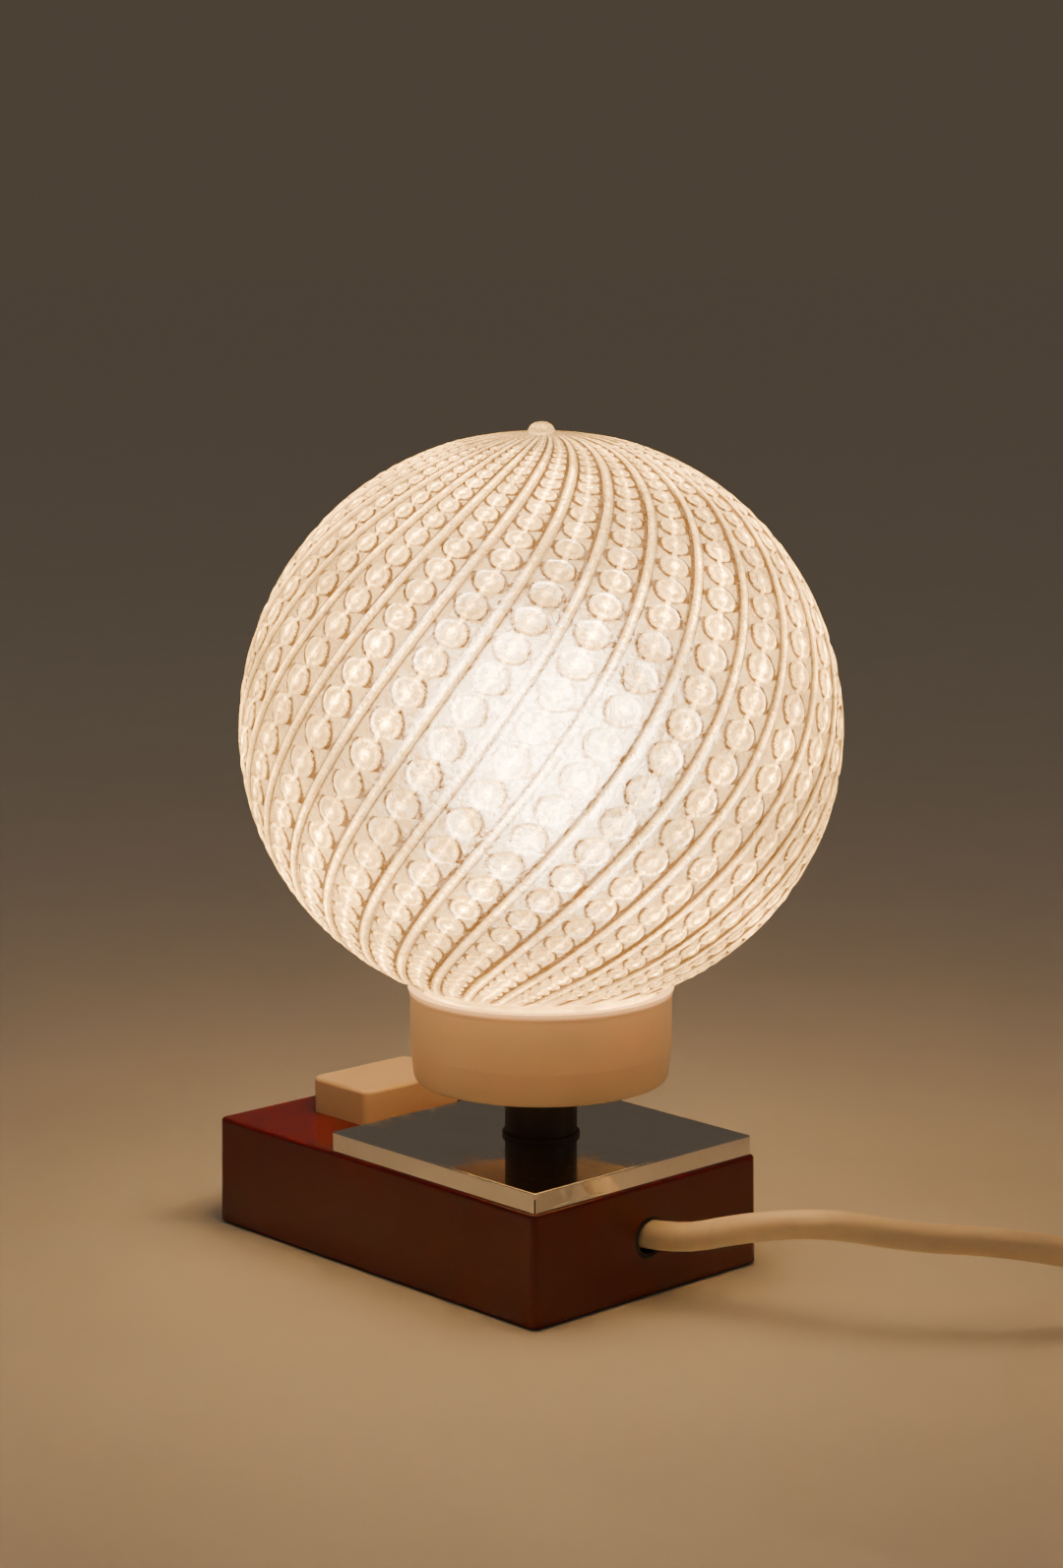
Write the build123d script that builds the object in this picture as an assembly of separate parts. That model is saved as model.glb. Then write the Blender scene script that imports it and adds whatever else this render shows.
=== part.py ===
"""Bedside night light: a swirl glass globe on a cream cup, a short stem and a box base with a push button.

Millimetres, +Z up. The origin lies on the table under the lamp's axis. +X points at the end face
that the cord leaves, and the push button is at the -X end.
"""

from build123d import *
import math
import os

# Base housing, a moulded box that is a little wider at its foot
base_length = 121.5
base_width = 77.25
base_top_z = 28.7
base_lift = 0.8
base_flare = 0.5
base_corner_r = 2.2
base_edge_r = 1.0
base_wall = 2.4

# How far a cut runs past what it cuts
cut_spare = 1.0

# Felt pad and steel base plate
felt_thickness = 1.0
felt_inset = 1.5
felt_corner_cut = 13.0
base_plate_thickness = 2.0
base_plate_gap = 0.3
base_plate_corner_r = 2.0
corner_boss_r = 3.5
corner_boss_inset = 5.2

# Small screws, all of one size
screw_r = 1.45
screw_hole_gap = 0.05
screw_head_r = 2.8
screw_head_height = 2.2
countersink_depth = 1.6
screw_length = 10.0
screw_slot_width = 0.8
screw_slot_depth = 0.9
screw_hole_spare = 1.0

# Chromed cap plate, a folded sheet that leaves a narrow margin of the housing's top
cap_margin = 1.075
cap_height = 5.0
cap_sheet = 1.0
cap_bend_r = 0.8
cap_seam_gap = 0.35
cap_fit_gap = 0.2

# Stem: threaded tube, ring and sleeve
tube_r = 5.0
tube_bore_r = 4.0
tube_below = 10.7
tube_hole_gap = 0.15
ring_r = 9.85
ring_thickness = 1.0
sleeve_r = 9.15
sleeve_length = 14.3
sleeve_wall = 2.0
nut_flats = 14.0
nut_height = 3.0
washer_r = 9.6
washer_thickness = 1.2

# Collar, a cream cup that carries the globe
collar_height = 23.5
collar_foot_r = 32.1
collar_mid_r = 33.0
collar_rim_r = 33.5
collar_floor = 2.4
collar_inner_r = 30.5
collar_foot_edge_r = 1.2
collar_mid_share = 0.36
collar_lip_height = 2.4
collar_rim_chamfer = 0.6

# Globe: round above its middle, a little flatter below
globe_r = 75.0
globe_flattening = 0.944
globe_wall = 3.0
globe_rim_gap = 0.3
globe_nub_r = 3.2
globe_nub_height = 1.3
globe_shoulder_r = 1.5
neck_r = 29.0
neck_wall = 3.0

# Ribs that swirl down the globe. Angles in degrees run from its pole, 90 at its middle
rib_count = 26
rib_height = 0.75
rib_r = 1.4
rib_first = 20.0
rib_last = 151.0
rib_spans = 5
rib_start = 41.3
rib_sweep = 0.62
rib_curl = 9.07
rib_curl_from = 45.0
rib_curl_span = 80.0

# Gasket under the globe's neck
gasket_thickness = 1.6
gasket_gap = 0.5
gasket_overhang = 1.0

# Wave spring round the neck, in a groove of the collar
wave_count = 6
wave_thickness = 0.4
wave_height = 8.0
wave_lift = 9.0
wave_gap = 0.1
wave_groove_depth = 0.6
wave_groove_gap = 0.3

# Lampholder and the small bulb in it
holder_r = 14.0
holder_wall = 2.2
holder_floor = 4.0
holder_cup_height = 20.4
holder_skirt_height = 28.5
holder_seat_depth = 2.5
holder_inner_r = 10.0
holder_seat_ledge = 1.3
holder_foot_edge_r = 2.0
holder_rim_edge_r = 1.5
insert_gap = 0.1
insert_thickness = 5.0
shell_r = 6.95
shell_sheet = 0.65
shell_height = 19.5
shell_flange_r = 9.4
shell_flange_hole_r = 4.6
terminal_offset = 6.2
terminal_side = 4.6
terminal_height = 5.5
terminal_hole_r = 1.3
terminal_entry_depth = 3.0
terminal_screw_r = 1.1
terminal_screw_gap = 0.1
terminal_screw_proud = 1.6
contact_width = 4.0
contact_strip = 0.4
contact_gap = 0.05
contact_foot = 3.2
contact_bend = 2.8
contact_bow = 0.6
contact_tongue = 1.6
contact_fall = 0.5
bulb_r = 22.5
bulb_waist = 8.5
bulb_seat_depth = 7.0
bulb_glass_wall = 0.9
bulb_neck_r = 6.2
bulb_neck_blend_r = 9.0
bulb_tip_above_insert = 3.0
bulb_thread_gap = 0.05
cap_length = 24.5
cap_metal = 0.4
cap_flare_r = 7.9
cap_flare_height = 2.0
tip_r = 2.3
tip_height = 1.1
vitrite_height = 3.9
vitrite_margin = 0.8
bulb_stem_r = 3.0
bulb_stem_height = 24.0
stem_flare_rim = 1.0
stem_flare_height = 5.0
filament_span = 10.0
filament_r = 0.45
filament_lift = 2.0
filament_bow = 4.0
support_r = 0.35
support_offset = 0.9
support_knee = 3.0
support_bend = 1.5

# Push button and its switch
button_length = 23.0
button_width = 33.0
button_top_z = 38.0
button_corner_r = 2.6
button_edge_r = 1.1
button_shift = 0.2375
button_wall = 1.8
button_roof = 2.2
button_gap = 0.35
button_guide_wall = 1.4
button_guide_depth = 6.0
button_flange = 1.0
button_flange_height = 1.2
button_stop_gap = 0.3
button_travel = 3.0
button_stem_r = 3.0
switch_length = 16.0
switch_width = 24.0
switch_bottom_z = 3.8
switch_height = 11.0
switch_wall = 1.5
switch_corner_r = 1.0
switch_floor = 1.2
switch_ear_reach = 14.0
switch_ear_width = 8.0
switch_ear_height = 2.5
switch_ear_z = 5.2
switch_ear_corner_r = 2.0
switch_screw_y = 22.0
switch_screw_length = 8.0
plunger_r = 2.5
plunger_flange_r = 3.6
plunger_flange_height = 1.3
plunger_gap = 0.1
plunger_above = 4.2
rotor_r = 4.5
rotor_height = 3.0
rotor_lobe_r = 0.8
rotor_lobes = 8
rotor_pin_r = 1.2
rotor_pin_gap = 0.05
rotor_lift = 0.3
blade_thickness = 0.5
blade_height = 4.0
blade_inner = 9.0
blade_outer = 7.0
blade_gap = 0.25
blade_lift = 0.5
boot_sleeve_r = 3.0
boot_sleeve_length = 9.0
spring_mean_r = 5.0
spring_wire_r = 0.4
spring_turns = 6

# Leads inside the lamp
lead_r = 1.1
lead_offset = 1.9
lead_bend = 4.0
lead_straight = 7.0
lead_entry = 3.0
lead_end_gap = 0.2
lead_above_tube = 2.0
lead_knee_lift = 0.6
lead_top_bend = 1.6
lead_from_blade = 9.0
lead_rise = (3.5, 5.5)
lead_turn_x = -12.0
live_lead_y = -8.0
live_lead_reach = (8.0, 14.0)
core_offset = 1.6

# Supply cord
cord_r = 3.65
cord_exit_z = 15.2
cord_past_clamp = 6.0
bushing_r = 5.2
bushing_bore_gap = 0.35
bushing_flange_r = 7.0
bushing_flange = 1.5
clamp_inset = 9.225
clamp_length = 8.0
clamp_width = 26.0
clamp_thickness = 2.1
clamp_corner_r = 1.5
clamp_screw_y = 9.5
clamp_boss_r = 3.2
clamp_boss_z = 12.0
clamp_rib_length = 5.0
clamp_rib_width = 12.0
clamp_gap = 0.05

# The cord's route from its exit: the photographed bow, then down to the table
cord_bow = [
    (44.5, 0.0, 15.2),
    (63.5, 9.0, 21.6),
    (82.0, 17.0, 25.2),
    (97.0, 31.0, 21.8),
    (111.5, 46.0, 21.0),
    (127.5, 62.3, 17.2),
]
coil_approach = 21.0

# Coil of the cord's rest, two layers, and its tie
coil_centre = (197.5, 55.0)
coil_mean_r = 39.0
coil_pitch = 7.9
coil_start_angle = 125.0
coil_whole_turns = 6
coil_lift = 0.7
coil_steps_per_turn = 4
tie_angle = -100.0
tie_width = 7.0
tie_strap = 0.5
tie_gap = 0.1
tie_side_gap = 0.3
tie_knot = (6.0, 9.0, 3.2)
tie_knot_corner_r = 1.0
tie_knot_edge_r = 0.8

# Plug, a flat two-pin one that lies beside the coil
tail_length = 28.0
plug_boot_length = 20.0
plug_boot_tip_r = 4.9
plug_boot_root_r = 7.2
plug_width = 36.4
plug_thickness = 24.5
plug_length = 34.0
plug_corner_r = 9.0
plug_back_r = 4.0
plug_pin_r = 2.4
plug_pin_spacing = 19.0
plug_pin_length = 19.0
plug_pin_seat = 6.0

# Heights that follow from the stack
base_plate_z = felt_thickness
base_plate_top_z = base_plate_z + base_plate_thickness
base_ceiling_z = base_top_z - base_wall
cap_top_z = base_top_z + cap_height
plateau_top_z = cap_top_z - cap_sheet
plateau_ceiling_z = plateau_top_z - base_wall
sleeve_z = cap_top_z + ring_thickness
collar_z = sleeve_z + sleeve_length
collar_floor_z = collar_z + collar_floor
collar_rim_z = collar_z + collar_height
upper_nut_z = collar_floor_z + washer_thickness
holder_z = upper_nut_z + nut_height
holder_joint_z = holder_z + holder_cup_height
holder_rim_z = holder_joint_z + holder_skirt_height
insert_z = holder_joint_z - holder_seat_depth
insert_top_z = insert_z + insert_thickness
bulb_tip_z = insert_top_z + bulb_tip_above_insert
bulb_centre_z = bulb_tip_z + cap_length + bulb_waist + bulb_r
bulb_neck_z = bulb_tip_z + cap_length - bulb_seat_depth
bulb_stem_top_z = bulb_neck_z + bulb_stem_height
neck_foot_z = collar_floor_z + gasket_thickness
tube_top_z = holder_z + holder_floor
tube_foot_z = plateau_top_z - tube_below

# Plan sizes that follow
base_x1 = base_width / 2
base_x0 = base_x1 - base_length
cavity_x1 = base_x1 - base_wall
cavity_x0 = base_x0 + base_wall
cavity_y = base_width / 2 - base_wall
cap_side = base_width - 2 * cap_margin
plateau_side = cap_side - 2 * cap_sheet - 2 * cap_fit_gap
button_x = (base_x0 - cap_side / 2) / 2 + button_shift
clamp_x = cavity_x1 - clamp_inset
cord_inner_x = clamp_x - cord_past_clamp
collar_rim_inner_r = collar_inner_r + collar_rim_chamfer
wave_groove_r = collar_inner_r + wave_groove_depth
switch_top_z = switch_bottom_z + switch_height
corner_screws = [
    (x, y)
    for x in (cavity_x0 + corner_boss_inset, cavity_x1 - corner_boss_inset)
    for y in (-cavity_y + corner_boss_inset, cavity_y - corner_boss_inset)
]
globe_lower_height = globe_r * globe_flattening
globe_z = (
    collar_rim_z
    + globe_rim_gap
    + globe_lower_height * math.sqrt(1 - (collar_rim_inner_r / globe_r) ** 2)
)


def block(x0, x1, y0, y1, z0, z1, corner=0.0):
    """A box between six planes, with its upright edges rounded."""
    outline = Rectangle(x1 - x0, y1 - y0)
    if corner > 0:
        outline = RectangleRounded(x1 - x0, y1 - y0, corner)
    return extrude(Pos((x0 + x1) / 2, (y0 + y1) / 2, z0) * outline, z1 - z0)


def pillar(radius, z0, z1, x=0.0, y=0.0):
    """An upright cylinder between two heights."""
    return Pos(x, y, (z0 + z1) / 2) * Cylinder(radius, z1 - z0)


def sleeve(outer, inner, z0, z1, x=0.0, y=0.0):
    """An upright tube between two heights."""
    return pillar(outer, z0, z1, x, y) - pillar(inner, z0, z1, x, y)


def turned(points):
    """A solid turned about the lamp's axis from a closed outline of (radius, height) points."""
    return revolve(Plane.XZ * make_face(Polyline(*points, close=True)), Axis.Z)


def rod(points, radius, bends):
    """A round rod along straight runs joined by tangent arcs."""
    path = FilletPolyline(*points, radius=bends)
    return sweep(Plane(origin=path @ 0, z_dir=path % 0) * Circle(radius), path=path)


def lying_cylinder(radius, x0, x1, y, z):
    """A cylinder along X."""
    return Pos((x0 + x1) / 2, y, z) * Rot(0, 90, 0) * Cylinder(radius, x1 - x0)


def pan_screw(x, y, head_z, length):
    """A screw driven upwards, with its round head below head_z."""
    head = pillar(screw_head_r, head_z - screw_head_height, head_z, x, y)
    head = fillet(head.edges().group_by(Axis.Z)[0], screw_head_height * 0.4)
    shank = pillar(screw_r, head_z, head_z + length, x, y)
    return head - screw_slot(x, y, head_z - screw_head_height) + shank


def screw_slot(x, y, z0):
    """The driver's slot, which starts at the head's lower face."""
    half = screw_slot_width / 2
    return block(x - half, x + half, y - screw_head_r, y + screw_head_r, z0, z0 + screw_slot_depth)


def hex_nut(z0):
    outline = RegularPolygon(nut_flats / 2, 6, major_radius=False) - Circle(tube_r)
    return extrude(Pos(0, 0, z0) * outline, nut_height)


def make_base_housing():
    height = base_top_z - base_lift
    slope = math.degrees(math.atan(base_flare / height))
    foot = RectangleRounded(base_length + 2 * base_flare, base_width + 2 * base_flare, base_corner_r)
    middle_x = (base_x0 + base_x1) / 2
    shell = extrude(Pos(middle_x, 0, base_lift) * foot, height, taper=slope)
    shell = fillet(shell.edges().group_by(Axis.Z)[-1], base_edge_r)
    half = plateau_side / 2
    shell += block(-half, half, -half, half, base_top_z - base_edge_r, plateau_top_z, base_edge_r)
    shell -= block(cavity_x0, cavity_x1, -cavity_y, cavity_y, base_lift, base_ceiling_z)
    inner = half - base_wall
    shell -= block(-inner, inner, -inner, inner, base_ceiling_z, plateau_ceiling_z)
    shell += button_guide()
    for x, y in corner_screws:
        shell += pillar(corner_boss_r, base_plate_top_z, base_ceiling_z + base_wall / 2, x, y)
        hole_top_z = base_plate_z + screw_length + screw_hole_spare
        shell -= pillar(screw_r + screw_hole_gap, base_plate_z, hole_top_z, x, y)
    for side in (-1, 1):
        y = side * switch_screw_y
        foot_z = switch_ear_top_z()
        shell += pillar(corner_boss_r, foot_z, base_ceiling_z + base_wall / 2, button_x, y)
        shell -= pillar(screw_r + screw_hole_gap, foot_z, foot_z + screw_length, button_x, y)
        y = side * clamp_screw_y
        shell += pillar(clamp_boss_r, clamp_boss_z, plateau_ceiling_z + base_wall / 2, clamp_x, y)
        shell -= pillar(screw_r + screw_hole_gap, clamp_boss_z, clamp_boss_z + screw_length, clamp_x, y)
    rib = block(clamp_x - clamp_rib_length / 2, clamp_x + clamp_rib_length / 2, -clamp_rib_width / 2,
                clamp_rib_width / 2, cord_exit_z, plateau_ceiling_z + base_wall / 2)
    shell += rib
    bore_x = (clamp_x - clamp_length, clamp_x + clamp_length)
    shell -= lying_cylinder(cord_r + clamp_gap, *bore_x, 0, cord_exit_z)
    shell -= lying_cylinder(bushing_r, cavity_x1 - cut_spare, base_x1 + 2 * base_flare, 0, cord_exit_z)
    shell -= pillar(tube_r + tube_hole_gap, base_ceiling_z, cap_top_z)
    shell -= button_hole(base_ceiling_z - button_guide_depth - cut_spare, base_top_z + cut_spare)
    return shell


def button_hole(z0, z1):
    half_x = button_length / 2 + button_gap
    half_y = button_width / 2 + button_gap
    corner = button_corner_r + button_gap
    return block(button_x - half_x, button_x + half_x, -half_y, half_y, z0, z1, corner)


def button_guide():
    """The collar under the top that the button slides in."""
    half_x = button_length / 2 + button_gap + button_guide_wall
    half_y = button_width / 2 + button_gap + button_guide_wall
    corner = button_corner_r + button_gap + button_guide_wall
    return block(button_x - half_x, button_x + half_x, -half_y, half_y,
                 base_ceiling_z - button_guide_depth, base_ceiling_z + base_wall / 2, corner)


def make_base_plate():
    x0, x1 = cavity_x0 + base_plate_gap, cavity_x1 - base_plate_gap
    y = cavity_y - base_plate_gap
    plate = block(x0, x1, -y, y, base_plate_z, base_plate_top_z, base_plate_corner_r)
    for x, y in corner_screws:
        plate -= countersunk(x, y, screw_hole_gap)
    return plate


def countersunk(x, y, gap):
    """A countersunk screw, or with a gap the hole that it fits."""
    cone = Cone(screw_head_r + gap, screw_r + gap, countersink_depth)
    head = Pos(x, y, base_plate_z + countersink_depth / 2) * cone
    return head + pillar(screw_r + gap, base_plate_z + countersink_depth, base_plate_z + screw_length, x, y)


def make_base_plate_screws():
    screws = []
    for x, y in corner_screws:
        screws.append(countersunk(x, y, 0.0) - screw_slot(x, y, base_plate_z))
    return screws


def make_felt_pad():
    """The felt stops short of the four screws."""
    x0, x1 = cavity_x0 + felt_inset, cavity_x1 - felt_inset
    y = cavity_y - felt_inset
    pad = block(x0, x1, -y, y, 0.0, felt_thickness)
    return chamfer(pad.edges().filter_by(Axis.Z), felt_corner_cut)


def make_cap_plate():
    half = cap_side / 2
    sheet = block(-half, half, -half, half, base_top_z, cap_top_z, cap_bend_r / 2)
    sheet = fillet(sheet.edges().group_by(Axis.Z)[-1], cap_bend_r / 2)
    inner = half - cap_sheet
    sheet -= block(-inner, inner, -inner, inner, base_top_z, plateau_top_z)
    for x in (-1, 1):
        for y in (-1, 1):
            seam = Rot(0, 0, 45 * x * y) * Box(4 * cap_sheet, cap_seam_gap, cap_height - cap_sheet)
            middle_z = base_top_z + (cap_height - cap_sheet) / 2 - cap_bend_r / 2
            sheet -= Pos(x * (half - cap_sheet), y * (half - cap_sheet), middle_z) * seam
    return sheet - pillar(tube_r + tube_hole_gap, base_top_z, cap_top_z)


def make_stem_ring():
    ring = pillar(ring_r, cap_top_z, sleeve_z)
    ring = fillet(ring.edges().group_by(Axis.Z)[-1], ring_thickness * 0.3)
    return ring - pillar(tube_r + tube_hole_gap, cap_top_z, sleeve_z)


def make_stem_sleeve():
    return sleeve(sleeve_r, sleeve_r - sleeve_wall, sleeve_z, collar_z)


def make_threaded_tube():
    return sleeve(tube_r, tube_bore_r, tube_foot_z, tube_top_z)


def make_lower_washer():
    return sleeve(washer_r, tube_r + tube_hole_gap, plateau_ceiling_z - washer_thickness, plateau_ceiling_z)


def make_lower_nut():
    return hex_nut(plateau_ceiling_z - washer_thickness - nut_height)


def make_upper_washer():
    return sleeve(washer_r, tube_r + tube_hole_gap, collar_floor_z, upper_nut_z)


def make_upper_nut():
    return hex_nut(upper_nut_z)


def make_collar():
    mid_z = collar_z + collar_height * collar_mid_share
    lip_z = collar_rim_z - collar_lip_height
    outside = [
        (0, collar_z),
        (collar_foot_r, collar_z),
        (collar_mid_r, mid_z),
        (collar_mid_r, lip_z),
        (collar_rim_r, collar_rim_z),
        (0, collar_rim_z),
    ]
    cup = turned(outside)
    foot = [e for e in cup.edges().filter_by(GeomType.CIRCLE) if e.center().Z < collar_z + 0.01]
    cup = fillet(foot, collar_foot_edge_r)
    inside = [
        (0, collar_floor_z),
        (collar_inner_r, collar_floor_z),
        (collar_inner_r, collar_rim_z - collar_rim_chamfer),
        (collar_rim_inner_r, collar_rim_z),
        (0, collar_rim_z),
    ]
    cup -= turned(inside)
    cup -= pillar(tube_r + tube_hole_gap, collar_z, collar_floor_z)
    groove_z = neck_foot_z + wave_lift - wave_groove_gap
    return cup - pillar(wave_groove_r, groove_z, groove_z + wave_height + 2 * wave_groove_gap)


def make_wave_spring():
    """An open ring of spring strip that waves between the groove and the globe's neck."""
    crest = wave_groove_r - wave_gap - wave_thickness / 2
    trough = neck_r + wave_gap + wave_thickness / 2
    middle, swing = (crest + trough) / 2, (crest - trough) / 2
    steps = 8 * wave_count
    points = []
    for i in range(2, steps - 1):
        angle = 2 * math.pi * i / steps
        radius = middle + swing * math.cos(wave_count * angle)
        points.append((radius * math.cos(angle), radius * math.sin(angle)))
    line = Spline(*points)
    strip = trace(line, wave_thickness)
    z0 = neck_foot_z + wave_lift
    return extrude(Pos(0, 0, z0) * strip, wave_height)


def make_neck_gasket():
    inner = neck_r - neck_wall - gasket_overhang
    return sleeve(collar_inner_r - gasket_gap, inner, collar_floor_z, neck_foot_z)


def waist_rings(solid, radius, above):
    """The edges where a round body meets its neck."""
    rings = []
    for edge in solid.edges():
        ends = [edge @ 0, edge @ 0.5]
        if all(abs(math.hypot(p.X, p.Y) - radius) < 0.01 and p.Z > above for p in ends):
            rings.append(edge)
    return [e for e in rings if abs((e @ 0).Z - (e @ 0.5).Z) < 0.01]


def ball_shape(radius, lower):
    """Half a ball over half an ellipsoid, about the globe's centre."""
    upper = Circle(radius) & (Pos(radius / 2, radius / 2) * Rectangle(radius, radius))
    under = Ellipse(radius, lower) & (Pos(radius / 2, -lower / 2) * Rectangle(radius, lower))
    return revolve(Plane.XZ * Pos(0, globe_z) * (upper + under), Axis.Z)


def rib_point(angle):
    """The middle of the first rib's round section, so far down from the globe's pole."""
    curl = max(0.0, (angle - rib_curl_from) / rib_curl_span)
    heading = math.radians(rib_start - rib_sweep * angle - rib_curl * curl**3)
    polar = math.radians(angle)
    radius = globe_r - rib_r
    height = radius if angle < 90 else globe_lower_height - rib_r
    spread = radius * math.sin(polar)
    return Vector(spread * math.cos(heading), spread * math.sin(heading), globe_z + height * math.cos(polar))


def globe_ribs():
    """Raised lines that swirl from near the pole to near the neck."""
    step = 0.01
    spots, headings = [], []
    for i in range(rib_spans + 1):
        angle = rib_first + (rib_last - rib_first) * i / rib_spans
        spots.append(rib_point(angle))
        headings.append((rib_point(angle + step) - rib_point(angle - step)).normalized())
    rib = tube_along(biarcs(spots, headings), rib_r)
    return [Rot(0, 0, 360 * i / rib_count) * rib for i in range(rib_count)]


def make_glass_globe():
    neck_top_z = globe_z - globe_lower_height / 2
    outer = ball_shape(globe_r - rib_height, globe_lower_height - rib_height)
    outer += pillar(neck_r, neck_foot_z, neck_top_z)
    outer = fillet(waist_rings(outer, neck_r, neck_foot_z + cut_spare), globe_shoulder_r)
    nub = pillar(globe_nub_r, globe_z, globe_z + globe_r + globe_nub_height)
    nub = fillet(nub.edges().group_by(Axis.Z)[-1], globe_nub_height * 0.8)
    inner = ball_shape(globe_r - globe_wall, globe_lower_height - globe_wall)
    inner += pillar(neck_r - neck_wall, neck_foot_z, neck_top_z)
    return (outer + nub - inner) + globe_ribs()


def make_holder_cup():
    seat_r = holder_r - holder_wall
    bore_r = seat_r - holder_seat_ledge
    cup = sleeve(holder_r, tube_r, holder_z, holder_joint_z)
    cup = fillet(outer_ring(cup, holder_r, holder_z), holder_foot_edge_r)
    cup -= pillar(bore_r, holder_z + holder_floor, insert_z)
    return cup - pillar(seat_r, insert_z, holder_joint_z)


def outer_ring(solid, radius, z):
    """The round edges of one radius at one height."""
    rings = solid.edges().filter_by(GeomType.CIRCLE)
    return [e for e in rings if abs(e.radius - radius) < 0.01 and abs(e.center().Z - z) < 0.01]


def make_holder_skirt():
    seat_r = holder_r - holder_wall
    skirt = sleeve(holder_r, holder_inner_r, holder_joint_z, holder_rim_z)
    skirt = fillet(outer_ring(skirt, holder_r, holder_rim_z), holder_rim_edge_r)
    return skirt - pillar(seat_r, holder_joint_z, insert_top_z)


def make_holder_insert():
    insert = pillar(holder_r - holder_wall - insert_gap, insert_z, insert_top_z)
    entry_top_z = insert_z + terminal_entry_depth
    for side in (-1, 1):
        insert -= pillar(terminal_hole_r, insert_z, entry_top_z, side * terminal_offset, 0)
    return insert


def make_holder_terminals():
    half = terminal_side / 2
    blocks = []
    for side in (-1, 1):
        x = side * terminal_offset
        body = block(x - half, x + half, -half, half, insert_z - terminal_height, insert_z)
        body -= pillar(terminal_hole_r, insert_z - terminal_height, insert_z, x, 0)
        bore = Pos(x, half, terminal_screw_z()) * Rot(90, 0, 0) * Cylinder(terminal_screw_r, terminal_side)
        blocks.append(body - bore)
    return blocks


def terminal_screw_z():
    return insert_z - terminal_height / 2


def make_holder_terminal_screws():
    screws = []
    for side in (-1, 1):
        start, end = lead_r + terminal_screw_gap, terminal_side / 2 + terminal_screw_proud
        screw = Pos(side * terminal_offset, (start + end) / 2, terminal_screw_z()) * Rot(90, 0, 0)
        screws.append(screw * Cylinder(terminal_screw_r, end - start))
    return screws


def make_holder_shell():
    outer_r = shell_r + shell_sheet
    shell = sleeve(outer_r, shell_r, insert_top_z, insert_top_z + shell_height)
    shell += sleeve(shell_flange_r, shell_flange_hole_r, insert_top_z, insert_top_z + shell_sheet)
    return shell


def make_holder_contact():
    """A bent brass tongue that the bulb's tip rests on."""
    z0 = insert_top_z + contact_strip / 2
    z1 = bulb_tip_z - contact_gap - contact_strip / 2
    line = Polyline(
        (-contact_foot, z0),
        (contact_bend, z0),
        (contact_bend + contact_bow, (z0 + z1) / 2),
        (contact_bend, z1 - contact_fall),
        (-contact_tongue, z1),
    )
    strip = Plane.XZ * trace(line, contact_strip)
    return Pos(0, contact_width / 2, 0) * extrude(strip, contact_width)


def make_bulb_contact():
    return pillar(tip_r, bulb_tip_z, bulb_tip_z + tip_height)


def make_bulb_insulator():
    z0 = bulb_tip_z + tip_height
    z1 = z0 + vitrite_height
    return turned([(0, z0), (tip_r + vitrite_margin, z0), (shell_r - vitrite_margin, z1), (0, z1)])


def make_bulb_cap():
    z0 = bulb_tip_z + tip_height + vitrite_height
    z1 = bulb_tip_z + cap_length
    r0 = shell_r - bulb_thread_gap
    flare_z = z1 - cap_flare_height
    return turned([
        (r0, z0), (r0, flare_z), (cap_flare_r, z1),
        (cap_flare_r - cap_metal, z1), (r0 - cap_metal, flare_z), (r0 - cap_metal, z0),
    ])


def make_bulb_glass():
    outer = pillar(bulb_neck_r, bulb_neck_z, bulb_centre_z) + Pos(0, 0, bulb_centre_z) * Sphere(bulb_r)
    outer = fillet(waist_rings(outer, bulb_neck_r, bulb_neck_z + cut_spare), bulb_neck_blend_r)
    inner_r = bulb_neck_r - bulb_glass_wall
    inner = pillar(inner_r, bulb_neck_z, bulb_centre_z)
    inner += Pos(0, 0, bulb_centre_z) * Sphere(bulb_r - bulb_glass_wall)
    return outer - inner


def make_bulb_stem():
    z0 = bulb_neck_z
    flare_r = bulb_neck_r - bulb_glass_wall
    return turned([
        (0, z0), (flare_r, z0), (flare_r, z0 + stem_flare_rim), (bulb_stem_r, z0 + stem_flare_height),
        (bulb_stem_r * 0.5, bulb_stem_top_z), (0, bulb_stem_top_z),
    ])


def filament_end(side):
    foot = (side * support_offset, 0, bulb_stem_top_z)
    return foot, (side * filament_span, 0, bulb_centre_z + filament_lift)


def make_bulb_supports():
    wires = []
    for side in (-1, 1):
        foot, top = filament_end(side)
        knee = (foot[0], 0, foot[2] + support_knee)
        wires.append(rod([foot, knee, top], support_r, support_bend))
    return wires


def make_bulb_filament():
    """A wire that hangs in an arc between its two supports."""
    left, right = (filament_end(side)[1] for side in (-1, 1))
    lift = support_r + filament_r
    path = ThreePointArc(
        (left[0], 0, left[2] + lift), (0, 0, left[2] + lift + filament_bow), (right[0], 0, right[2] + lift)
    )
    return sweep(Plane(origin=path @ 0, z_dir=path % 0) * Circle(filament_r), path=path)


def make_switch_button():
    half_x, half_y = button_length / 2, button_width / 2
    foot_z = button_foot_z()
    cap = block(button_x - half_x, button_x + half_x, -half_y, half_y, foot_z, button_top_z,
                button_corner_r)
    cap = fillet(cap.edges().group_by(Axis.Z)[-1], button_edge_r)
    reach = button_flange + button_gap
    cap += block(button_x - half_x - reach, button_x + half_x + reach, -half_y - reach, half_y + reach,
                 foot_z, foot_z + button_flange_height, button_corner_r + reach)
    in_x, in_y = half_x - button_wall, half_y - button_wall
    cap -= block(button_x - in_x, button_x + in_x, -in_y, in_y, foot_z, button_top_z - button_roof,
                 button_corner_r * 0.5)
    return cap + pillar(button_stem_r, plunger_top_z(), button_top_z - button_roof, button_x, 0)


def button_foot_z():
    """The flange stops against the guide's lower edge."""
    return base_ceiling_z - button_guide_depth - button_stop_gap - button_flange_height


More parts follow.
